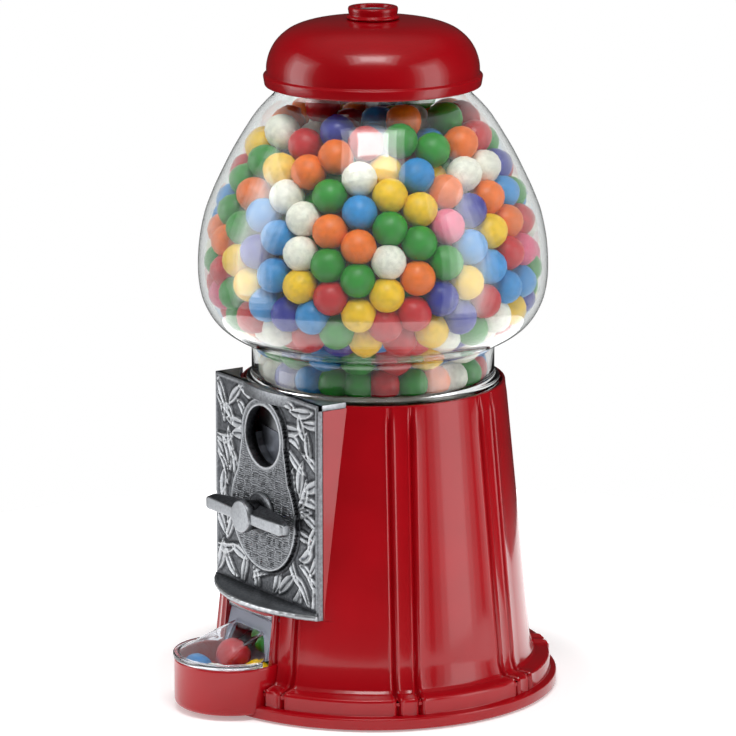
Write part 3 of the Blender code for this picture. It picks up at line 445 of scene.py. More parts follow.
# %% Seat under the globe
seat = np.array([(46.4, 121.0), (51.9, 121.0), (51.9, SEAT_Z), (46.4, SEAT_Z)])
turn = spread(0, 2 * np.pi, 129)[:-1]
ring = np.stack([seat[:, :1] * np.cos(turn), np.maximum(seat[:, :1] * np.sin(turn), -PLANE_Y + 0.05),
                 np.repeat(seat[:, 1:], 128, 1)], -1)
piece("globe_seat", ring, quads_of(4, 128, True, True), "base", "red_enamel", RED)

# %% Cheeks and floor of the chute
tunnel = rounded([(-17.0, 41.0), (-17.0, 15.0), (17.0, 15.0), (17.0, 41.0)], 1.2, 4)
outer = tunnel + np.array([(-1.5 if x < 0 else 1.5, 0) if z > 15.9 else (0, -1.5) for x, z in tunnel])
loop = np.vstack([tunnel, outer[::-1]])
deep = np.array([-63.4, -50.0, -48.0])
walls = np.stack([np.repeat(loop[None, :, 0], 3, 0), np.repeat(deep[:, None], len(loop), 1),
                  np.repeat(loop[None, :, 1], 3, 0)], -1)
walls[0, :, 1] = -np.sqrt((FOOT_R - 0.1 * (loop[:, 1] - FOOT_Z) - 0.5) ** 2 - loop[:, 0] ** 2)
lofted("chute_cheeks", walls, "base", "red_enamel", RED)

# %% The cup
CUP_R, CUP_Y, CUP_LOW, CUP_TOP = 23.2, -69.1, 2.0, 21.1
cup_profile = rounded([(0, CUP_LOW), (CUP_R, CUP_LOW), (CUP_R, CUP_TOP), (CUP_R - 2, CUP_TOP),
                       (CUP_R - 2, CUP_LOW + 2), (0, CUP_LOW + 2)], [0, 2.6, 0.7, 0.7, 2.0, 0], 6)
spin = np.radians(spread(-118, 118, 97))
cup = np.stack([cup_profile[:, :1] * np.sin(spin), CUP_Y - cup_profile[:, :1] * np.cos(spin),
                np.repeat(cup_profile[:, 1:], 97, 1)], -1).transpose(1, 0, 2)
lofted("cup", cup, "base", "red_enamel", RED)

# %% [markdown]
# ## The lid
# Spun and pressed, with a rolled band at its edge. A profile with the dome's own curve is turned
# round the axis, and returns inside it to make a real wall.

# %% Lid and knob
LID_LOW, LID_SEAT = 248.4, 275.0
dome = smooth_curve([(43.0, 253.6), (42.9, 256.7), (42.2, 260.0), (41.0, 263.0), (39.2, 265.9),
                     (36.5, 268.7),
                     (33.0, 271.1), (28.0, 273.0), (22.0, 274.2), (15.0, 274.8)], 4)
band = rounded([(42.2, LID_LOW), (43.6, LID_LOW), (44.3, 252.7), (43.1, 253.2), (43.0, 253.6)],
               [0, 0.8, 0.7, 0.25, 0], 4)[:-1]
inside = dome[::-1] - np.array([2.2, 2.2])
inside = inside[inside[:, 1] > 253.0]
lid_profile = np.vstack([band, dome, [(12.5, LID_SEAT), (3.4, LID_SEAT), (3.4, 272.8)], inside,
                         [(36.0, 253.6), (36.0, 252.6), (42.1, 252.6)]])
revolved("lid_shell", lid_profile, "lid", "red_enamel", RED, segments=128, replaces=["lid"])
knob_corners = [(3.4, 275.3), (10.6, 275.3), (10.9, 276.2), (9.7, 276.7), (10.1, 279.0), (9.9, 280.0),
                (7.5, 280.0), (7.3, 277.6), (3.4, 277.6)]
knob_profile = rounded(knob_corners, [0, 0.4, 0.5, 0.5, 0.5, 0.5, 0.4, 0.3, 0], 4)
revolved("knob_shell", knob_profile, "knob", "red_enamel", RED, segments=72, replaces=["lid_knob"])

# %% Medallion in the knob: a plain eight-petalled rosette
radius = spread(0.02, 7.0, 26)[:, None]
turn = spread(0, 2 * np.pi, 97)[:-1][None]
petal = 0.35 * np.exp(-((radius - 3.4) / 1.7) ** 2) * (0.5 + 0.5 * np.cos(8 * turn)) + 0.25 * (radius > 6.1)
lift = petal + 0.25 * (radius < 1.0)
top = np.stack([radius * np.cos(turn), radius * np.sin(turn), 278.3 + lift + 0 * turn], -1)
under = np.stack([7.0 * np.cos(turn[0]), 7.0 * np.sin(turn[0]), np.full(96, 277.8)], -1)[None]
centre = np.zeros((1, 96, 3)) + np.array([0, 0, 277.8])
disc = np.concatenate([np.zeros((1, 96, 3)) + np.array([0, 0, 278.55]), top, under, centre])
piece("knob_medallion", disc, quads_of(len(disc), 96, wrap_cols=True), "knob", "black_steel", PEWTER,
      replaces=["knob_insert"], attributes={"relief": np.clip(0.15 + (disc[..., 2] - 278.2) * 1.6, 0, 1)})

# %% [markdown]
# ## The globe
# Blown into a mould: a foot with a rolled lip, a short neck, a fold, the belly and a wide mouth.
# The outer curve passes through the measured radii, and the inner one lies a wall inside it.

# %% The globe's outer curve and its wall
GLASS_OUT = np.vstack([
    rounded([(49.6, 127.1), (51.6, 127.1), (51.6, 129.6), (49.4, 130.6), (49.4, 141.5)],
            [0, 1.2, 1.0, 1.2, 0], 5),
    smooth_curve([(49.5, 142.6), (50.6, 144.0), (54.4, 145.6), (59.9, 148.9), (63.8, 152.4), (66.9, 156.8),
                  (69.4, 162.5), (70.7, 169.5), (70.9, 177.0), (70.2, 186.0), (68.2, 196.0), (65.3, 204.0),
                  (62.6, 210.0), (56.6, 222.0), (48.6, 235.0), (43.6, 241.0), (40.2, 244.4), (38.9, 247.0),
                  (38.7, 250.0)], 4)])


def inset(path, distance):
    """Move each point of a path to the left of its own direction."""
    along = np.gradient(path, axis=0)
    along /= np.linalg.norm(along, axis=1, keepdims=True)
    return path + distance * np.stack([-along[:, 1], along[:, 0]], 1)


inner = inset(GLASS_OUT, 2.2)
keep = (inner[:, 1] > 131) & (inner[:, 1] < 249.0)
glass_in = np.vstack([[(47.2, 127.1), (47.2, 131.0)], inner[keep], [(36.5, 250.0)]])
revolved("globe_glass", np.vstack([GLASS_OUT, glass_in[::-1]]), "base", "globe_glass", GLASS, segments=144,
         replaces=["globe"])

# %% [markdown]
# ## The gumballs
# Several hundred balls, packed as they would fall: each step they sink a little, push each other
# apart, and stay inside the glass and outside the rod. The start is seeded, so they always come
# to rest in the same places.

# %% Let the balls settle
BALL = 7.15
COUNT = 690
wall_path = GLASS_OUT[GLASS_OUT[:, 1] > 129.9]
steps_along = np.diff(wall_path, axis=0)
lengths = np.linalg.norm(steps_along, axis=1)


def from_glass(spots):
    """Distance from each (radius, height) to the glass's outer curve, and the direction inwards."""
    offset = spots[:, None] - wall_path[None, :-1]
    share = np.clip((offset * steps_along).sum(-1) / lengths ** 2, 0, 1)
    gap = offset - share[..., None] * steps_along
    far = np.linalg.norm(gap, axis=-1)
    nearest = far.argmin(1)
    rows = np.arange(len(spots))
    along = steps_along[nearest] / lengths[nearest, None]
    inward = np.stack([-along[:, 1], along[:, 0]], 1)
    signed = (gap[rows, nearest] * inward).sum(1)
    return signed, inward


def settle(spots, steps, sink):
    """Push overlapping balls apart by half their overlap each, then keep all of them inside."""
    size = 2 * BALL
    for step in range(steps):
        spots[:, 2] -= sink if step < steps - 70 else 0
        apart = spots[:, None] - spots[None]
        far = np.sqrt((apart ** 2).sum(-1)) + np.eye(len(spots)) * 99
        push = np.maximum(size - far, 0) / far * 0.5
        spots += (apart * push[..., None]).sum(1) * 0.62
        flat = np.hypot(spots[:, 0], spots[:, 1])
        signed, inward = from_glass(np.stack([flat, spots[:, 2]], 1))
        short = np.maximum(2.3 + BALL - signed, 0)
        flat_new = np.maximum(flat + short * inward[:, 0], 3.1 + BALL)
        spots[:, :2] *= (flat_new / np.maximum(flat, 1e-6))[:, None]
        spots[:, 2] = np.clip(spots[:, 2] + short * inward[:, 1], 126.6 + BALL, 249.5)
    return spots


draw = np.random.default_rng(11)
level = 134 + 112 * spread(0, 1, COUNT) ** 0.95
spin = draw.uniform(0, 2 * np.pi, COUNT)
out = 52 * np.sqrt(draw.uniform(0.04, 1, COUNT))
balls = settle(np.stack([out * np.cos(spin), out * np.sin(spin), level], 1), 420, 0.35)
gaps = np.sqrt(((balls[:, None] - balls[None]) ** 2).sum(-1)) + np.eye(COUNT) * 99
print("balls:", COUNT, "highest", round(float(balls[:, 2].max()), 1), "deepest overlap",
      round(float(2 * BALL - gaps.min()), 2), "mm")

# %% [markdown]
# Each ball is a cube of quads blown up to a sphere, which has evenly sized faces and few of them.

# %% Ball meshes with a colour each
CANDY_COLOURS = {"#2488CC": 0.17, "#F4EFE2": 0.15, "#C00414": 0.19, "#F6C400": 0.14, "#0B8412": 0.16,
                 "#E4577F": 0.04, "#EE6E05": 0.08, "#10188E": 0.07}


def ball_grid(cells=4):
    """Points of a cube's six faces, each divided evenly in angle and put on the unit sphere."""
    line = np.tan(spread(-np.pi / 4, np.pi / 4, cells + 1))
    u, v = np.meshgrid(line, line, indexing="ij")
    one = np.ones_like(u)
    sides = [(one, u, v), (-one, v, u), (v, one, u), (u, -one, v), (u, v, one), (v, u, -one)]
    points, faces = [], []
    for number, side in enumerate(sides):
        grid = np.stack(side, -1).reshape(-1, 3)
        points.append(grid / np.linalg.norm(grid, axis=1, keepdims=True))
        faces.append(quads_of(cells + 1, cells + 1) + number * (cells + 1) ** 2)
    points = np.vstack(points)
    unique, back = np.unique(np.round(points, 6), axis=0, return_inverse=True)
    return unique, back.ravel()[np.vstack(faces)]


def ball_piece(name, centres, radius, codes, seed):
    """One mesh of many balls, each turned a little its own way, with its tint on its vertices."""
    unit, quads = ball_grid()
    source = np.random.default_rng(seed)
    axes = source.normal(size=(len(centres), 4))
    w, x, y, z = (axes / np.linalg.norm(axes, axis=1, keepdims=True)).T
    turns = np.stack([1 - 2 * (y * y + z * z), 2 * (x * y - z * w), 2 * (x * z + y * w),
                      2 * (x * y + z * w), 1 - 2 * (x * x + z * z), 2 * (y * z - x * w),
                      2 * (x * z - y * w), 2 * (y * z + x * w), 1 - 2 * (x * x + y * y)], 1)
    turns = turns.reshape(-1, 3, 3)
    points = np.einsum("nij,kj->nki", turns, unit) * radius + centres[:, None]
    faces = (quads[None] + np.arange(len(centres))[:, None, None] * len(unit)).reshape(-1, 4)
    made = piece(name, points, faces, "base", "candy", CANDY, sharp=180)
    layer = made.data.color_attributes.new("tint", "FLOAT_COLOR", "POINT")
    tints = np.array([colour(code) for code in codes])
    tints[:, :3] *= source.uniform(0.92, 1.05, (len(codes), 1))
    painted = np.repeat(np.clip(tints, 0, 1), len(unit), 0)
    layer.data.foreach_set("color", painted.astype(np.float32).ravel())
    return made


chosen = np.random.default_rng(14).choice(list(CANDY_COLOURS), COUNT, p=list(CANDY_COLOURS.values()))
load = ball_piece("gumballs", balls, BALL - 0.05, chosen, 5)
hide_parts("gumball_load")
in_cup = np.array([(-9.8, -79.3, 13.5), (4.4, -80.3, 13.5), (0.6, -68.6, 20.6), (4.6, -54.3, 26.3),
                   (12.9, -64.6, 13.9)])
ball_piece("gumballs_in_cup", in_cup, 7.0, ["#2488CC", "#F4EFE2", "#C00414", "#0B8412", "#F6C400"], 6)

# %% [markdown]
# ## The coin plate
# The plate is one height over its face for each point of it: a raised panel of two circles with
# hollow flanks between, a fine border, and leaf scrolls of our own design that fill what is left.
# Each leaf is a curved spine with a width that swells and tapers; its outline stands up as a
# thin ridge, and a vein is cut along it. The panel has a woven stipple, waves 1.8 mm apart.

# %% Distances on the plate
PLATE_Y, PLATE_LOW, PLATE_HIGH = 52.1, 41.7, 129.7
PLATE_HALF, PLATE_WALL = 38.0, 2.3
SHAFT_Z, SHAFT_HOLE, HOLE_Z, HOLE_R = 78.4, 6.3, 110.2, 12.5


def swell(value, low, high):
    """Smooth step: 3t^2 - 2t^3 between low and high."""
    t = np.clip((value - low) / (high - low), 0, 1)
    return t * t * (3 - 2 * t)


def to_path(spots, path):
    """Distance from each spot to a path, and how far along the path the nearest point is, 0 to 1."""
    step = np.diff(path, axis=0)
    offset = spots[:, None] - path[None, :-1]
    share = np.clip((offset * step).sum(-1) / np.maximum((step ** 2).sum(-1), 1e-9), 0, 1)
    far = np.linalg.norm(offset - share[..., None] * step, axis=-1)
    nearest = far.argmin(1)
    rows = np.arange(len(spots))
    return far[rows, nearest], (nearest + share[rows, nearest]) / len(step)


def circle(centre, radius, start, end, steps):
    """Points on an arc, angles in degrees."""
    turn = np.radians(spread(start, end, steps))
    return np.stack([centre[0] + radius * np.cos(turn), centre[1] + radius * np.sin(turn)], 1)


flank = np.vstack([circle((0, SHAFT_Z), 24.3, -90, 38, 30), circle((0, HOLE_Z), 16.0, -8, 90, 24)])
panel_edge = np.vstack([flank, flank[::-1] * (-1, 1)])


def panel_depth(spots):
    """Signed distance to the panel's outline, positive inside it."""
    far, _ = to_path(spots, panel_edge)
    order = np.argsort(flank[:, 1])
    wide = np.interp(spots[:, 1], flank[order, 1], flank[order, 0], left=-1, right=-1)
    return np.where(np.abs(spots[:, 0]) < wide, far, -far)


# %% [markdown]
# Leaves are laid by a seeded draw: each tries a place and takes it if its neighbours leave room,
# and its direction comes from a slow swirl over the plate, so that they flow like foliage.

# %% Lay out the leaves
def leaf_spines():
    """Quadratic curves (start, middle, end), each with its half width."""
    source = np.random.default_rng(8)
    spines, centres = [], []
    for _ in range(2600):
        spot = np.array([source.uniform(-36, 36), source.uniform(47, 127)])
        if panel_depth(spot[None])[0] > -2.4:
            continue
        if centres and np.min(np.hypot(*(np.array(centres) - spot).T)) < 6.0:
            continue
        swirl = 1.35 + 0.9 * math.sin(spot[0] / 7.5) + 0.9 * math.cos(spot[1] / 8.5)
        way = swirl + source.uniform(-0.5, 0.5)
        if source.uniform() < 0.3:
            way += 1.3
        length, bend = source.uniform(11.0, 17.0), source.uniform(-5.0, 5.0)
        along = np.array([math.cos(way), math.sin(way)])
        ends = spot - along * length / 2, spot + along * length / 2
        middle = spot + bend * np.array([-along[1], along[0]])
        t = spread(0, 1, 9)[:, None]
        spines.append(((1 - t) ** 2 * ends[0] + 2 * t * (1 - t) * middle + t ** 2 * ends[1],
                       source.uniform(1.6, 2.5)))
        centres.append(spot)
    return spines


def foliage(spots):
    """Plateau 0.45, outline ridge 0.3 more, vein 0.55 deep; the strongest leaf wins at each spot."""
    high = np.zeros(len(spots))
    for path, width in leaf_spines():
        middle = path.mean(0)
        near = np.hypot(*(spots - middle).T) < 12.5
        far, t = to_path(spots[near], path)
        reach = np.maximum(width * np.sin(np.pi * np.clip(t, 0.02, 0.98)) ** 0.7, 0.25)
        leaf = 0.45 * swell(reach - far, -0.4, 0.4) + 0.30 * np.exp(-((reach - far - 0.2) / 0.4) ** 2)
        leaf -= 0.55 * np.exp(-(far / 0.38) ** 2) * (reach > 0.9)
        leaf -= 0.22 * np.exp(-((far - reach - 0.8) / 0.45) ** 2)
        high[near] = np.where(np.abs(leaf) > np.abs(high[near]), leaf, high[near])
    return high


# %% The plate's face
xs = np.concatenate([[-PLATE_HALF, -PLATE_HALF, -37.8], spread(-37.4, 37.4, 186),
                     [37.8, PLATE_HALF, PLATE_HALF]])
zs = np.concatenate([[PLATE_LOW, PLATE_LOW + 0.2], spread(PLATE_LOW + 0.6, PLATE_HIGH - 0.6, 214),
                     [PLATE_HIGH - 0.2, PLATE_HIGH, PLATE_HIGH]])
gx, gz = np.meshgrid(xs, zs)
spots = np.stack([gx.ravel(), gz.ravel()], 1)
depth = panel_depth(spots)
to_edge = np.minimum(PLATE_HALF - np.abs(spots[:, 0]), PLATE_HIGH - spots[:, 1])
outside = swell(-depth, 0.9, 2.0) * swell(to_edge, 1.4, 2.2) * swell(spots[:, 1], 45.4, 46.4)
relief = foliage(spots) * outside
relief += 0.30 * np.exp(-((to_edge - 1.0) / 0.45) ** 2) * (depth < -1)
relief -= 0.25 * np.exp(-((depth + 1.3) / 0.5) ** 2)
panel = swell(depth, -0.35, 0.35)
bead = 0.22 * np.exp(-((depth - 0.75) / 0.4) ** 2)
lip = 0.25 * np.exp(-((np.hypot(spots[:, 0], spots[:, 1] - HOLE_Z) - HOLE_R - 0.5) / 0.45) ** 2)
edge_drop = 0.35 * (1 - swell(to_edge, 0, 0.45))
high = (relief + panel * (1.55 + bead + lip) - edge_drop).reshape(gx.shape)
high[:, [0, -1]] = -PLATE_WALL
high[-1] = -PLATE_WALL
relief_and_shade_value = np.clip(0.26 + relief * 0.62, 0, 1)
relief_and_shade_value = np.where(depth > 0.3, 0.33 + 1.2 * (bead + lip), relief_and_shade_value)
# Painted shade: the raised panel's side wall is painted near black, a shadow line all round it; elsewhere
# the value follows the relief's height and its wash.
relief_and_shade_value = np.where(np.abs(depth) < 0.3, 0.05, relief_and_shade_value)
relief_and_shade_value = np.where(spots[:, 1] < 45.6, 0.2, relief_and_shade_value)
relief_and_shade_value = np.where(to_edge < 0.8, 0.36, relief_and_shade_value).reshape(gx.shape)
stipple = np.sin((gx + gz) * 3.6 + np.sin(gz * 1.3)) * np.sin((gx - gz) * 3.4 + np.sin(gx * 1.1))
stipple *= swell(depth.reshape(gx.shape), 1.3, 1.9)
stipple *= swell(np.hypot(gx, gz - HOLE_Z), HOLE_R + 1.4, HOLE_R + 2.0)
high += 0.28 * stipple
relief_and_shade_value = np.clip(relief_and_shade_value + 0.32 * stipple, 0, 1)
face = np.stack([gx, -(PLATE_Y + high), gz], -1)
faces = quads_of(*gx.shape)
flat = face.reshape(-1, 3)
for centre_z, hole in ((HOLE_Z, HOLE_R), (SHAFT_Z, SHAFT_HOLE)):
    far = np.hypot(flat[:, 0], flat[:, 2] - centre_z)
    keep = (far[faces] > hole).any(1)
    faces = faces[keep]
    pulled = np.zeros(len(flat), bool)
    pulled[faces] = True
    pulled &= far < hole
    scale = (hole / np.maximum(far, 1e-6))[:, None]
    flat[pulled, 0:1] *= scale[pulled]
    flat[pulled, 2:3] = centre_z + (flat[pulled, 2:3] - centre_z) * scale[pulled]
used = np.zeros(len(flat), bool)
used[faces] = True
renumber = np.cumsum(used) - 1
plate = piece("coin_plate", flat[used], renumber[faces], "base", "pewter", PEWTER, replaces=["front_plate"],
              sharp=50, attributes={"relief": relief_and_shade_value.ravel()[used]})
thicken(plate, PLATE_WALL, 50)

# %% [markdown]
# Round the coin hole the casting is as thick as the panel, so a sleeve lines the hole, with a
# rounded lip in front.

# %% Hole sleeve, rim bow, ledges and hood
sleeve = rounded([(HOLE_R, 49.75), (HOLE_R, 53.75), (HOLE_R + 0.9, 53.75), (HOLE_R + 0.9, 49.75)],
                 [0, 0.4, 0.4, 0], 3, closed=False)
revolved("coin_hole_sleeve", sleeve, "base", "pewter", PEWTER, (0, HOLE_Z), "y", 96,
         attributes={"relief": np.repeat(np.clip((sleeve[:, 1:] - 53.0) * 0.9, 0.0, 0.6), 96, 1)})
bow = rounded([(52.05, 124.7), (54.7, 124.7), (54.7, 129.7), (52.05, 129.7)], 0.5, 4, closed=True)
arc_turn = np.radians(spread(-23.5, 23.5, 49))
bow_points = np.stack([bow[:, :1] * np.sin(arc_turn), -bow[:, :1] * np.cos(arc_turn),
                       np.repeat(bow[:, 1:], 49, 1)], -1).transpose(1, 0, 2)
# Painted highlight: the bow's top band is painted lighter than its front and underside.
painted_bow_light = np.where(bow[:, 1] > 129.0, 0.45, 0.3)
lofted("plate_rim_bow", bow_points, "base", "pewter", PEWTER,
       attributes={"relief": np.repeat(painted_bow_light[None], 49, 0)})
for side, label in ((-1, "left"), (1, "right")):
    along = spread(15.0, PLATE_HALF, 24)
    back = -np.sqrt(54.2 ** 2 - along ** 2)
    front = np.full(24, -PLATE_Y + 0.3)
    corners = [(front, 127.5), (front, 129.45), (front + 0.3, 129.7), (back - 0.1, 129.7), (back, 129.5),
               (back, 127.5)]
    ledge = np.stack([np.stack([side * along, y, np.full(24, z)], -1) for y, z in corners], 1)
    lofted(f"plate_ledge_{label}", ledge, "base", "pewter", PEWTER,
           attributes={"relief": np.tile([0.3, 0.7, 0.8, 0.5, 0.5, 0.3], (24, 1))})
along = spread(-PLATE_HALF, PLATE_HALF, 77)
reach = np.sqrt(65.4 ** 2 - along ** 2)
wave = 0.12 * np.sin(along * 1.7) + 0.1 * np.sin(along * 0.63 + 1)


def behind_lip(distance):
    """How far forward the hood is, a distance behind its wavy lip."""
    return np.maximum(reach - distance + wave, PLATE_Y)


root = np.full(77, PLATE_Y - 0.4)
hood_rows = [(root, 44.9, 0.3), (root + 0.6, 44.9, 0.2), ((PLATE_Y + reach) / 2, 44.1, 0.4),
             (behind_lip(1.6), 43.7, 0.36), (behind_lip(1.0), 43.9, 0.6), (behind_lip(0.35), 43.7, 0.75),
             (behind_lip(0), 43.1, 0.55), (behind_lip(0), 42.5, 0.6), (behind_lip(0.4), 41.8, 0.4),
             (behind_lip(1.2), 41.7, 0.3), (root, 41.7, 0.3)]
hood = np.stack([np.stack([along, -y, np.full(77, z)], -1) for y, z, _ in hood_rows], 1)
hood_relief = np.tile([tone for _, _, tone in hood_rows], (77, 1))
lofted("plate_hood", hood, "base", "pewter", PEWTER, attributes={"relief": hood_relief})

# %% [markdown]
# ## Handle and bush
# The handle is a hub with two wings. Each wing is a loft of sections along X: a flat band in
# front, and behind it a body that is deep and tall at the hub and thins out towards the tip.

# %% Handle
HUB_FRONT = 64.9
hub = rounded([(0, 56.9), (5.4, 56.9), (6.0, 57.6), (6.0, 60.4), (5.2, 60.8), (5.2, 61.6), (6.7, 62.0),
               (6.7, HUB_FRONT), (0, HUB_FRONT)], [0, 0.5, 0.4, 0.3, 0.3, 0.3, 0.3, 0.9, 0], 4)
tone = np.clip(0.15 + (hub[:, 1] - 61.5) * 0.12, 0.08, 0.5)
revolved("handle_hub", hub, "handle", "pewter", PEWTER, (0, SHAFT_Z), "y", 72, replaces=["handle"],
         attributes={"relief": np.repeat(tone[:, None], 72, 1)})
for side, label in ((-1, "left"), (1, "right")):
    sections, painted_wing_light = [], []
    for t in spread(0, 1, 25):
        x = side * (3.0 + 25.7 * t)
        blunt = 1 - 0.35 * swell(t, 0.93, 1.0)
        front_half, back_half = (2.0 + 0.5 * t) * blunt, (4.8 - 1.4 * t ** 1.4) * blunt
        back = HUB_FRONT - 1.2 - (7.2 - 3.0 * t ** 2.2)
        front = HUB_FRONT - 0.9 - 0.5 * t - 0.8 * swell(t, 0.94, 1.0)
        ring = rounded([(front, -front_half), (front, front_half), (back, back_half), (back, -back_half)],
                       [0.7, 0.7, 1.4, 1.4], 5, closed=True)
        sections.append([(x, -y, SHAFT_Z + z) for y, z in ring])
        # Painted light and shade: each wing's front face is painted lighter than the body behind it.
        painted_wing_light.append(np.where(ring[:, 0] > front - 0.5, 0.5, 0.26))
    lofted(f"handle_wing_{label}", sections, "handle", "pewter", PEWTER, attributes={"relief": painted_wing_light})
bush = rounded([(3.4, 50.0), (6.1, 50.0), (6.1, 53.9), (8.8, 53.9), (8.8, 55.3), (7.4, 56.2), (3.4, 56.2)],
               [0, 0, 0, 0.3, 0.6, 0.5, 0], 4)
revolved("handle_bush", bush, "base", "pewter", PEWTER, (0, SHAFT_Z), "y", 72, replaces=["shaft_bush"],
         attributes={"relief": np.repeat(np.where(bush[:, :1] > 8.2, 0.4, 0.16), 72, 1)})

# %% [markdown]
# Behind the coin hole, a half disc of sheet carries the coin, and its straight edge leans a little.

# %% Coin rest
half_turn = np.radians(spread(-188, -6, 41))
rim_x, rim_z = 12.0 * np.cos(half_turn), HOLE_Z + 12.0 * np.sin(half_turn)
layers = [np.stack([rim_x, np.full(41, -y), rim_z], -1) for y in (45.62, 45.95)]
lofted("coin_rest", layers, "base", "zinc_steel", SHEET_GREY)

# %% [markdown]
# ## The clear flap
# One clear moulding: a window that fills the chute's mouth, an arch cut in its foot, a roof of
# three panels from the arch to the cup, and a rim that lies on the cup's edge.

# %% Window
PIN_Y, PIN_Z, LEG_Y, RIM_Z = 57.5, 38.7, 61.9, 21.4
LEAN = (PIN_Y - LEG_Y) / (PIN_Z - RIM_Z)


def window_y(z):
    """How far in front of the axis the leaning window is at a height."""
    return PIN_Y - (PIN_Z - z) * LEAN


arch = rounded([(-14.0, RIM_Z), (-10.5, RIM_Z + 9.5), (10.5, RIM_Z + 9.5), (14.0, RIM_Z)],
               [0, 3.0, 3.0, 0], 8)
top_x = np.interp(spread(0, 1, len(arch)), [0, 0.25, 0.75, 1], [-15.8, -15.8, 15.8, 15.8])
top_z = np.interp(spread(0, 1, len(arch)), [0, 0.25, 0.75, 1], [RIM_Z, PIN_Z, PIN_Z, RIM_Z])
sheets = []
for thick in (0.8, -0.8):
    for x, z in ((arch[:, 0], arch[:, 1]), (top_x, top_z)):
        sheets.append(np.stack([x, -(window_y(z) + thick), z], -1))
loop = np.stack([sheets[0], sheets[1], sheets[3], sheets[2]], 1)
lofted("flap_window", loop, "flap", "clear_plastic", PANE, replaces=["chute_flap"])

# %% Roof, rim and knuckle
share = spread(0, 1, 61)
low_arch = rounded([(14.6, RIM_Z + 0.6), (10.9, RIM_Z + 10.2), (-10.9, RIM_Z + 10.2), (-14.6, RIM_Z + 0.6)],
                   [0, 1.2, 1.2, 0], 6)
length = np.concatenate([[0], np.cumsum(np.linalg.norm(np.diff(low_arch, axis=0), axis=1))])
top_line = np.stack([np.interp(share, length / length[-1], low_arch[:, k]) for k in (0, 1)], 1)
rim_turn = np.radians(np.interp(share, [0, 0.25, 0.75, 1], [0, 52, 128, 180]))
roof = []
for lift in (0.0, 1.5):
    start = np.stack([top_line[:, 0], -window_y(top_line[:, 1]), top_line[:, 1] + lift], -1)
    end = np.stack([21.8 * np.cos(rim_turn), CUP_Y - 21.8 * np.sin(rim_turn),
                    np.full(61, RIM_Z + 0.3 + lift)], -1)
    roof.append([start + (end - start) * t for t in (0.0, 0.33, 0.67, 1.0)])
roof_loop = np.stack(roof[0] + roof[1][::-1], 1)
lofted("flap_roof", roof_loop, "flap", "clear_plastic", PLASTIC, sharp=20)
rim = rounded([(20.9, RIM_Z), (23.6, RIM_Z), (23.6, RIM_Z + 2.0), (20.9, RIM_Z + 2.0)], 0.6, 4, closed=True)
rim_arc = np.radians(spread(-90, 90, 73))
rim_points = np.stack([rim[:, :1] * np.sin(rim_arc), CUP_Y - rim[:, :1] * np.cos(rim_arc),
                       np.repeat(rim[:, 1:], 73, 1)], -1).transpose(1, 0, 2)
lofted("flap_rim", rim_points, "flap", "clear_plastic", PLASTIC)
knuckle = np.radians(spread(0, 360, 29)[:-1])
bar = [[(x, -(PIN_Y + 2.6 * math.cos(t)), PIN_Z + 2.6 * math.sin(t)) for t in knuckle]
       for x in (-15.8, 15.8)]
lofted("flap_knuckle", bar, "flap", "clear_plastic", PLASTIC)

# %% [markdown]
# ## Floor, light and camera
# The floor is white paper that glows more the further it lies from the machine, so it runs into
# the white around. Three lamps of growing size stand on each side and three above, so that each
# reflection fades towards its edges.

# %% Floor
floor_radius = np.array([0.0, 60.0, 120.0, 180.0, 320.0])[:, None]
turn = spread(0, 2 * np.pi, 65)[:-1]
floor_points = np.stack([floor_radius * np.cos(turn), floor_radius * np.sin(turn),
                         0 * floor_radius + 0 * turn], -1)
floor_mesh = bpy.data.meshes.new("floor")
floor_mesh.from_pydata((floor_points.reshape(-1, 3) * MM).tolist(), [],
                       quads_of(5, 64, wrap_cols=True).tolist())
floor = bpy.data.objects.new("floor", floor_mesh)
bpy.context.collection.objects.link(floor)
WHITE, white_tree, white_shader = new_finish("matt_white_paper", Base_Color=colour("#FAFAFA"),
                                             Roughness=0.9, Specular_IOR_Level=0.0)
place = add_node(white_tree, "ShaderNodeTexCoord").outputs["Object"]
far = add_node(white_tree, "ShaderNodeVectorMath", {0: place}, operation="LENGTH").outputs["Value"]
glow = add_node(white_tree, "ShaderNodeMapRange",
                {"Value": far, "From Min": 0.085, "From Max": 0.15, "To Min": 0.3, "To Max": 1.0},
                interpolation_type="SMOOTHSTEP")
white_tree.links.new(glow.outputs["Result"], white_shader.inputs["Emission Strength"])
white_shader.inputs["Emission Color"].default_value = (1, 1, 1, 1)
floor_mesh.materials.append(WHITE)

# %% Soft lights
VIEW_AZIMUTH, VIEW_ELEVATION, VIEW_FAR = 56, 12.67, 1.864


def look_from(made, azimuth, elevation, far, height):
    """Put a lamp or camera in a direction in degrees, so far from a point on the axis, facing it."""
    a, e = math.radians(azimuth), math.radians(elevation)
    back = np.array([math.sin(a) * math.cos(e), -math.cos(a) * math.cos(e), math.sin(e)])
    made.location = back * far + np.array([0, 0, height])
    made.rotation_euler = (math.pi / 2 - e, 0, a)


def softbox(name, azimuth, elevation, far, width, tall, watts):
    """A flat lamp at an azimuth and elevation about the machine, turned to face it."""
    lamp = bpy.data.lights.new(name, "AREA")
    lamp.shape, lamp.size, lamp.size_y, lamp.energy = "RECTANGLE", width, tall, watts
    made = bpy.data.objects.new(name, lamp)
    bpy.context.collection.objects.link(made)
    look_from(made, azimuth, elevation, far, 0.15)


for size, watts in ((0.36, 1.9), (0.55, 2.2), (0.78, 2.8)):
    softbox(f"right_softbox_{size}", VIEW_AZIMUTH + 66, 4, 1.0 + size / 50, size, 0.75 + size, watts)
    softbox(f"left_softbox_{size}", VIEW_AZIMUTH - 88, 8, 1.0 + size / 50, size, 0.45 + size, watts * 0.85)
for size, watts in ((0.4, 1.9), (0.62, 2.2), (0.85, 2.4)):
    softbox(f"top_softbox_{size}", VIEW_AZIMUTH, 60, 1.1 + size / 50, size, size * 0.62, watts)

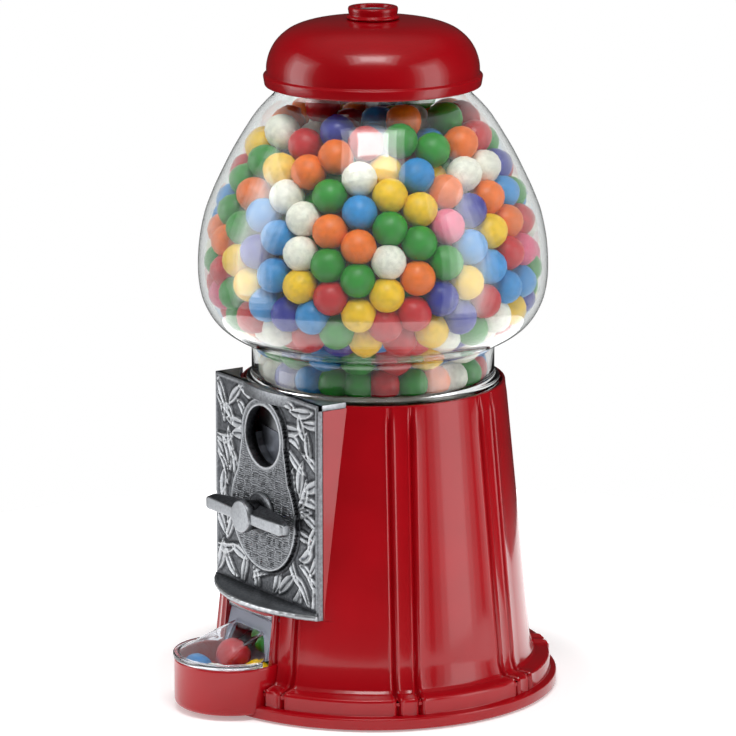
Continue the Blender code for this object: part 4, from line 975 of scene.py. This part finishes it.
# %% [markdown]
# Seen straight on or through the glass, the surroundings are white. Mirrored in the enamel they
# are dim and only brighten overhead, and every surface gets a little light from all round.

# %% White surroundings
world = bpy.data.worlds.new("white_room")
bpy.context.scene.world = world
world.use_nodes = True
sky = world.node_tree
for old in list(sky.nodes):
    sky.nodes.remove(old)
ray = add_node(sky, "ShaderNodeLightPath")
straight = add_node(sky, "ShaderNodeMath", {0: ray.outputs["Diffuse Depth"], 1: 0.5}, operation="LESS_THAN")
clear = add_node(sky, "ShaderNodeMath", {0: ray.outputs["Is Transmission Ray"], 1: straight.outputs[0]},
                 operation="MULTIPLY")
seen = add_node(sky, "ShaderNodeMath", {0: ray.outputs["Is Camera Ray"], 1: clear.outputs[0]},
                operation="MAXIMUM")
way = add_node(sky, "ShaderNodeSeparateXYZ", {0: add_node(sky, "ShaderNodeTexCoord").outputs["Generated"]})
overhead = add_node(sky, "ShaderNodeMapRange",
                    {"Value": way.outputs["Z"], "From Min": 0.55, "From Max": 1.0,
                     "To Min": 0.03, "To Max": 0.3},
                    interpolation_type="SMOOTHSTEP")
diffuse = ray.outputs["Is Diffuse Ray"]
soft = add_node(sky, "ShaderNodeMath", {0: diffuse, 1: 0.16, 2: overhead.outputs["Result"]},
                operation="MULTIPLY_ADD")
power = add_node(sky, "ShaderNodeMath", {0: seen.outputs[0], 1: soft.outputs[0]}, operation="MAXIMUM")
glow = add_node(sky, "ShaderNodeBackground", {"Color": (1, 1, 1, 1), "Strength": power.outputs[0]})
add_node(sky, "ShaderNodeOutputWorld", {"Surface": glow.outputs[0]})
bpy.context.scene.view_settings.view_transform = "Standard"

# %% Camera
lens = bpy.data.cameras.new("view")
lens.lens, lens.sensor_width, lens.clip_end = 224.05, 36.0, 20.0
lens.shift_x, lens.shift_y = -0.0068, -0.0277
camera = bpy.data.objects.new("view", lens)
bpy.context.collection.objects.link(camera)
look_from(camera, VIEW_AZIMUTH, VIEW_ELEVATION, VIEW_FAR, 0.14)
bpy.context.scene.camera = camera
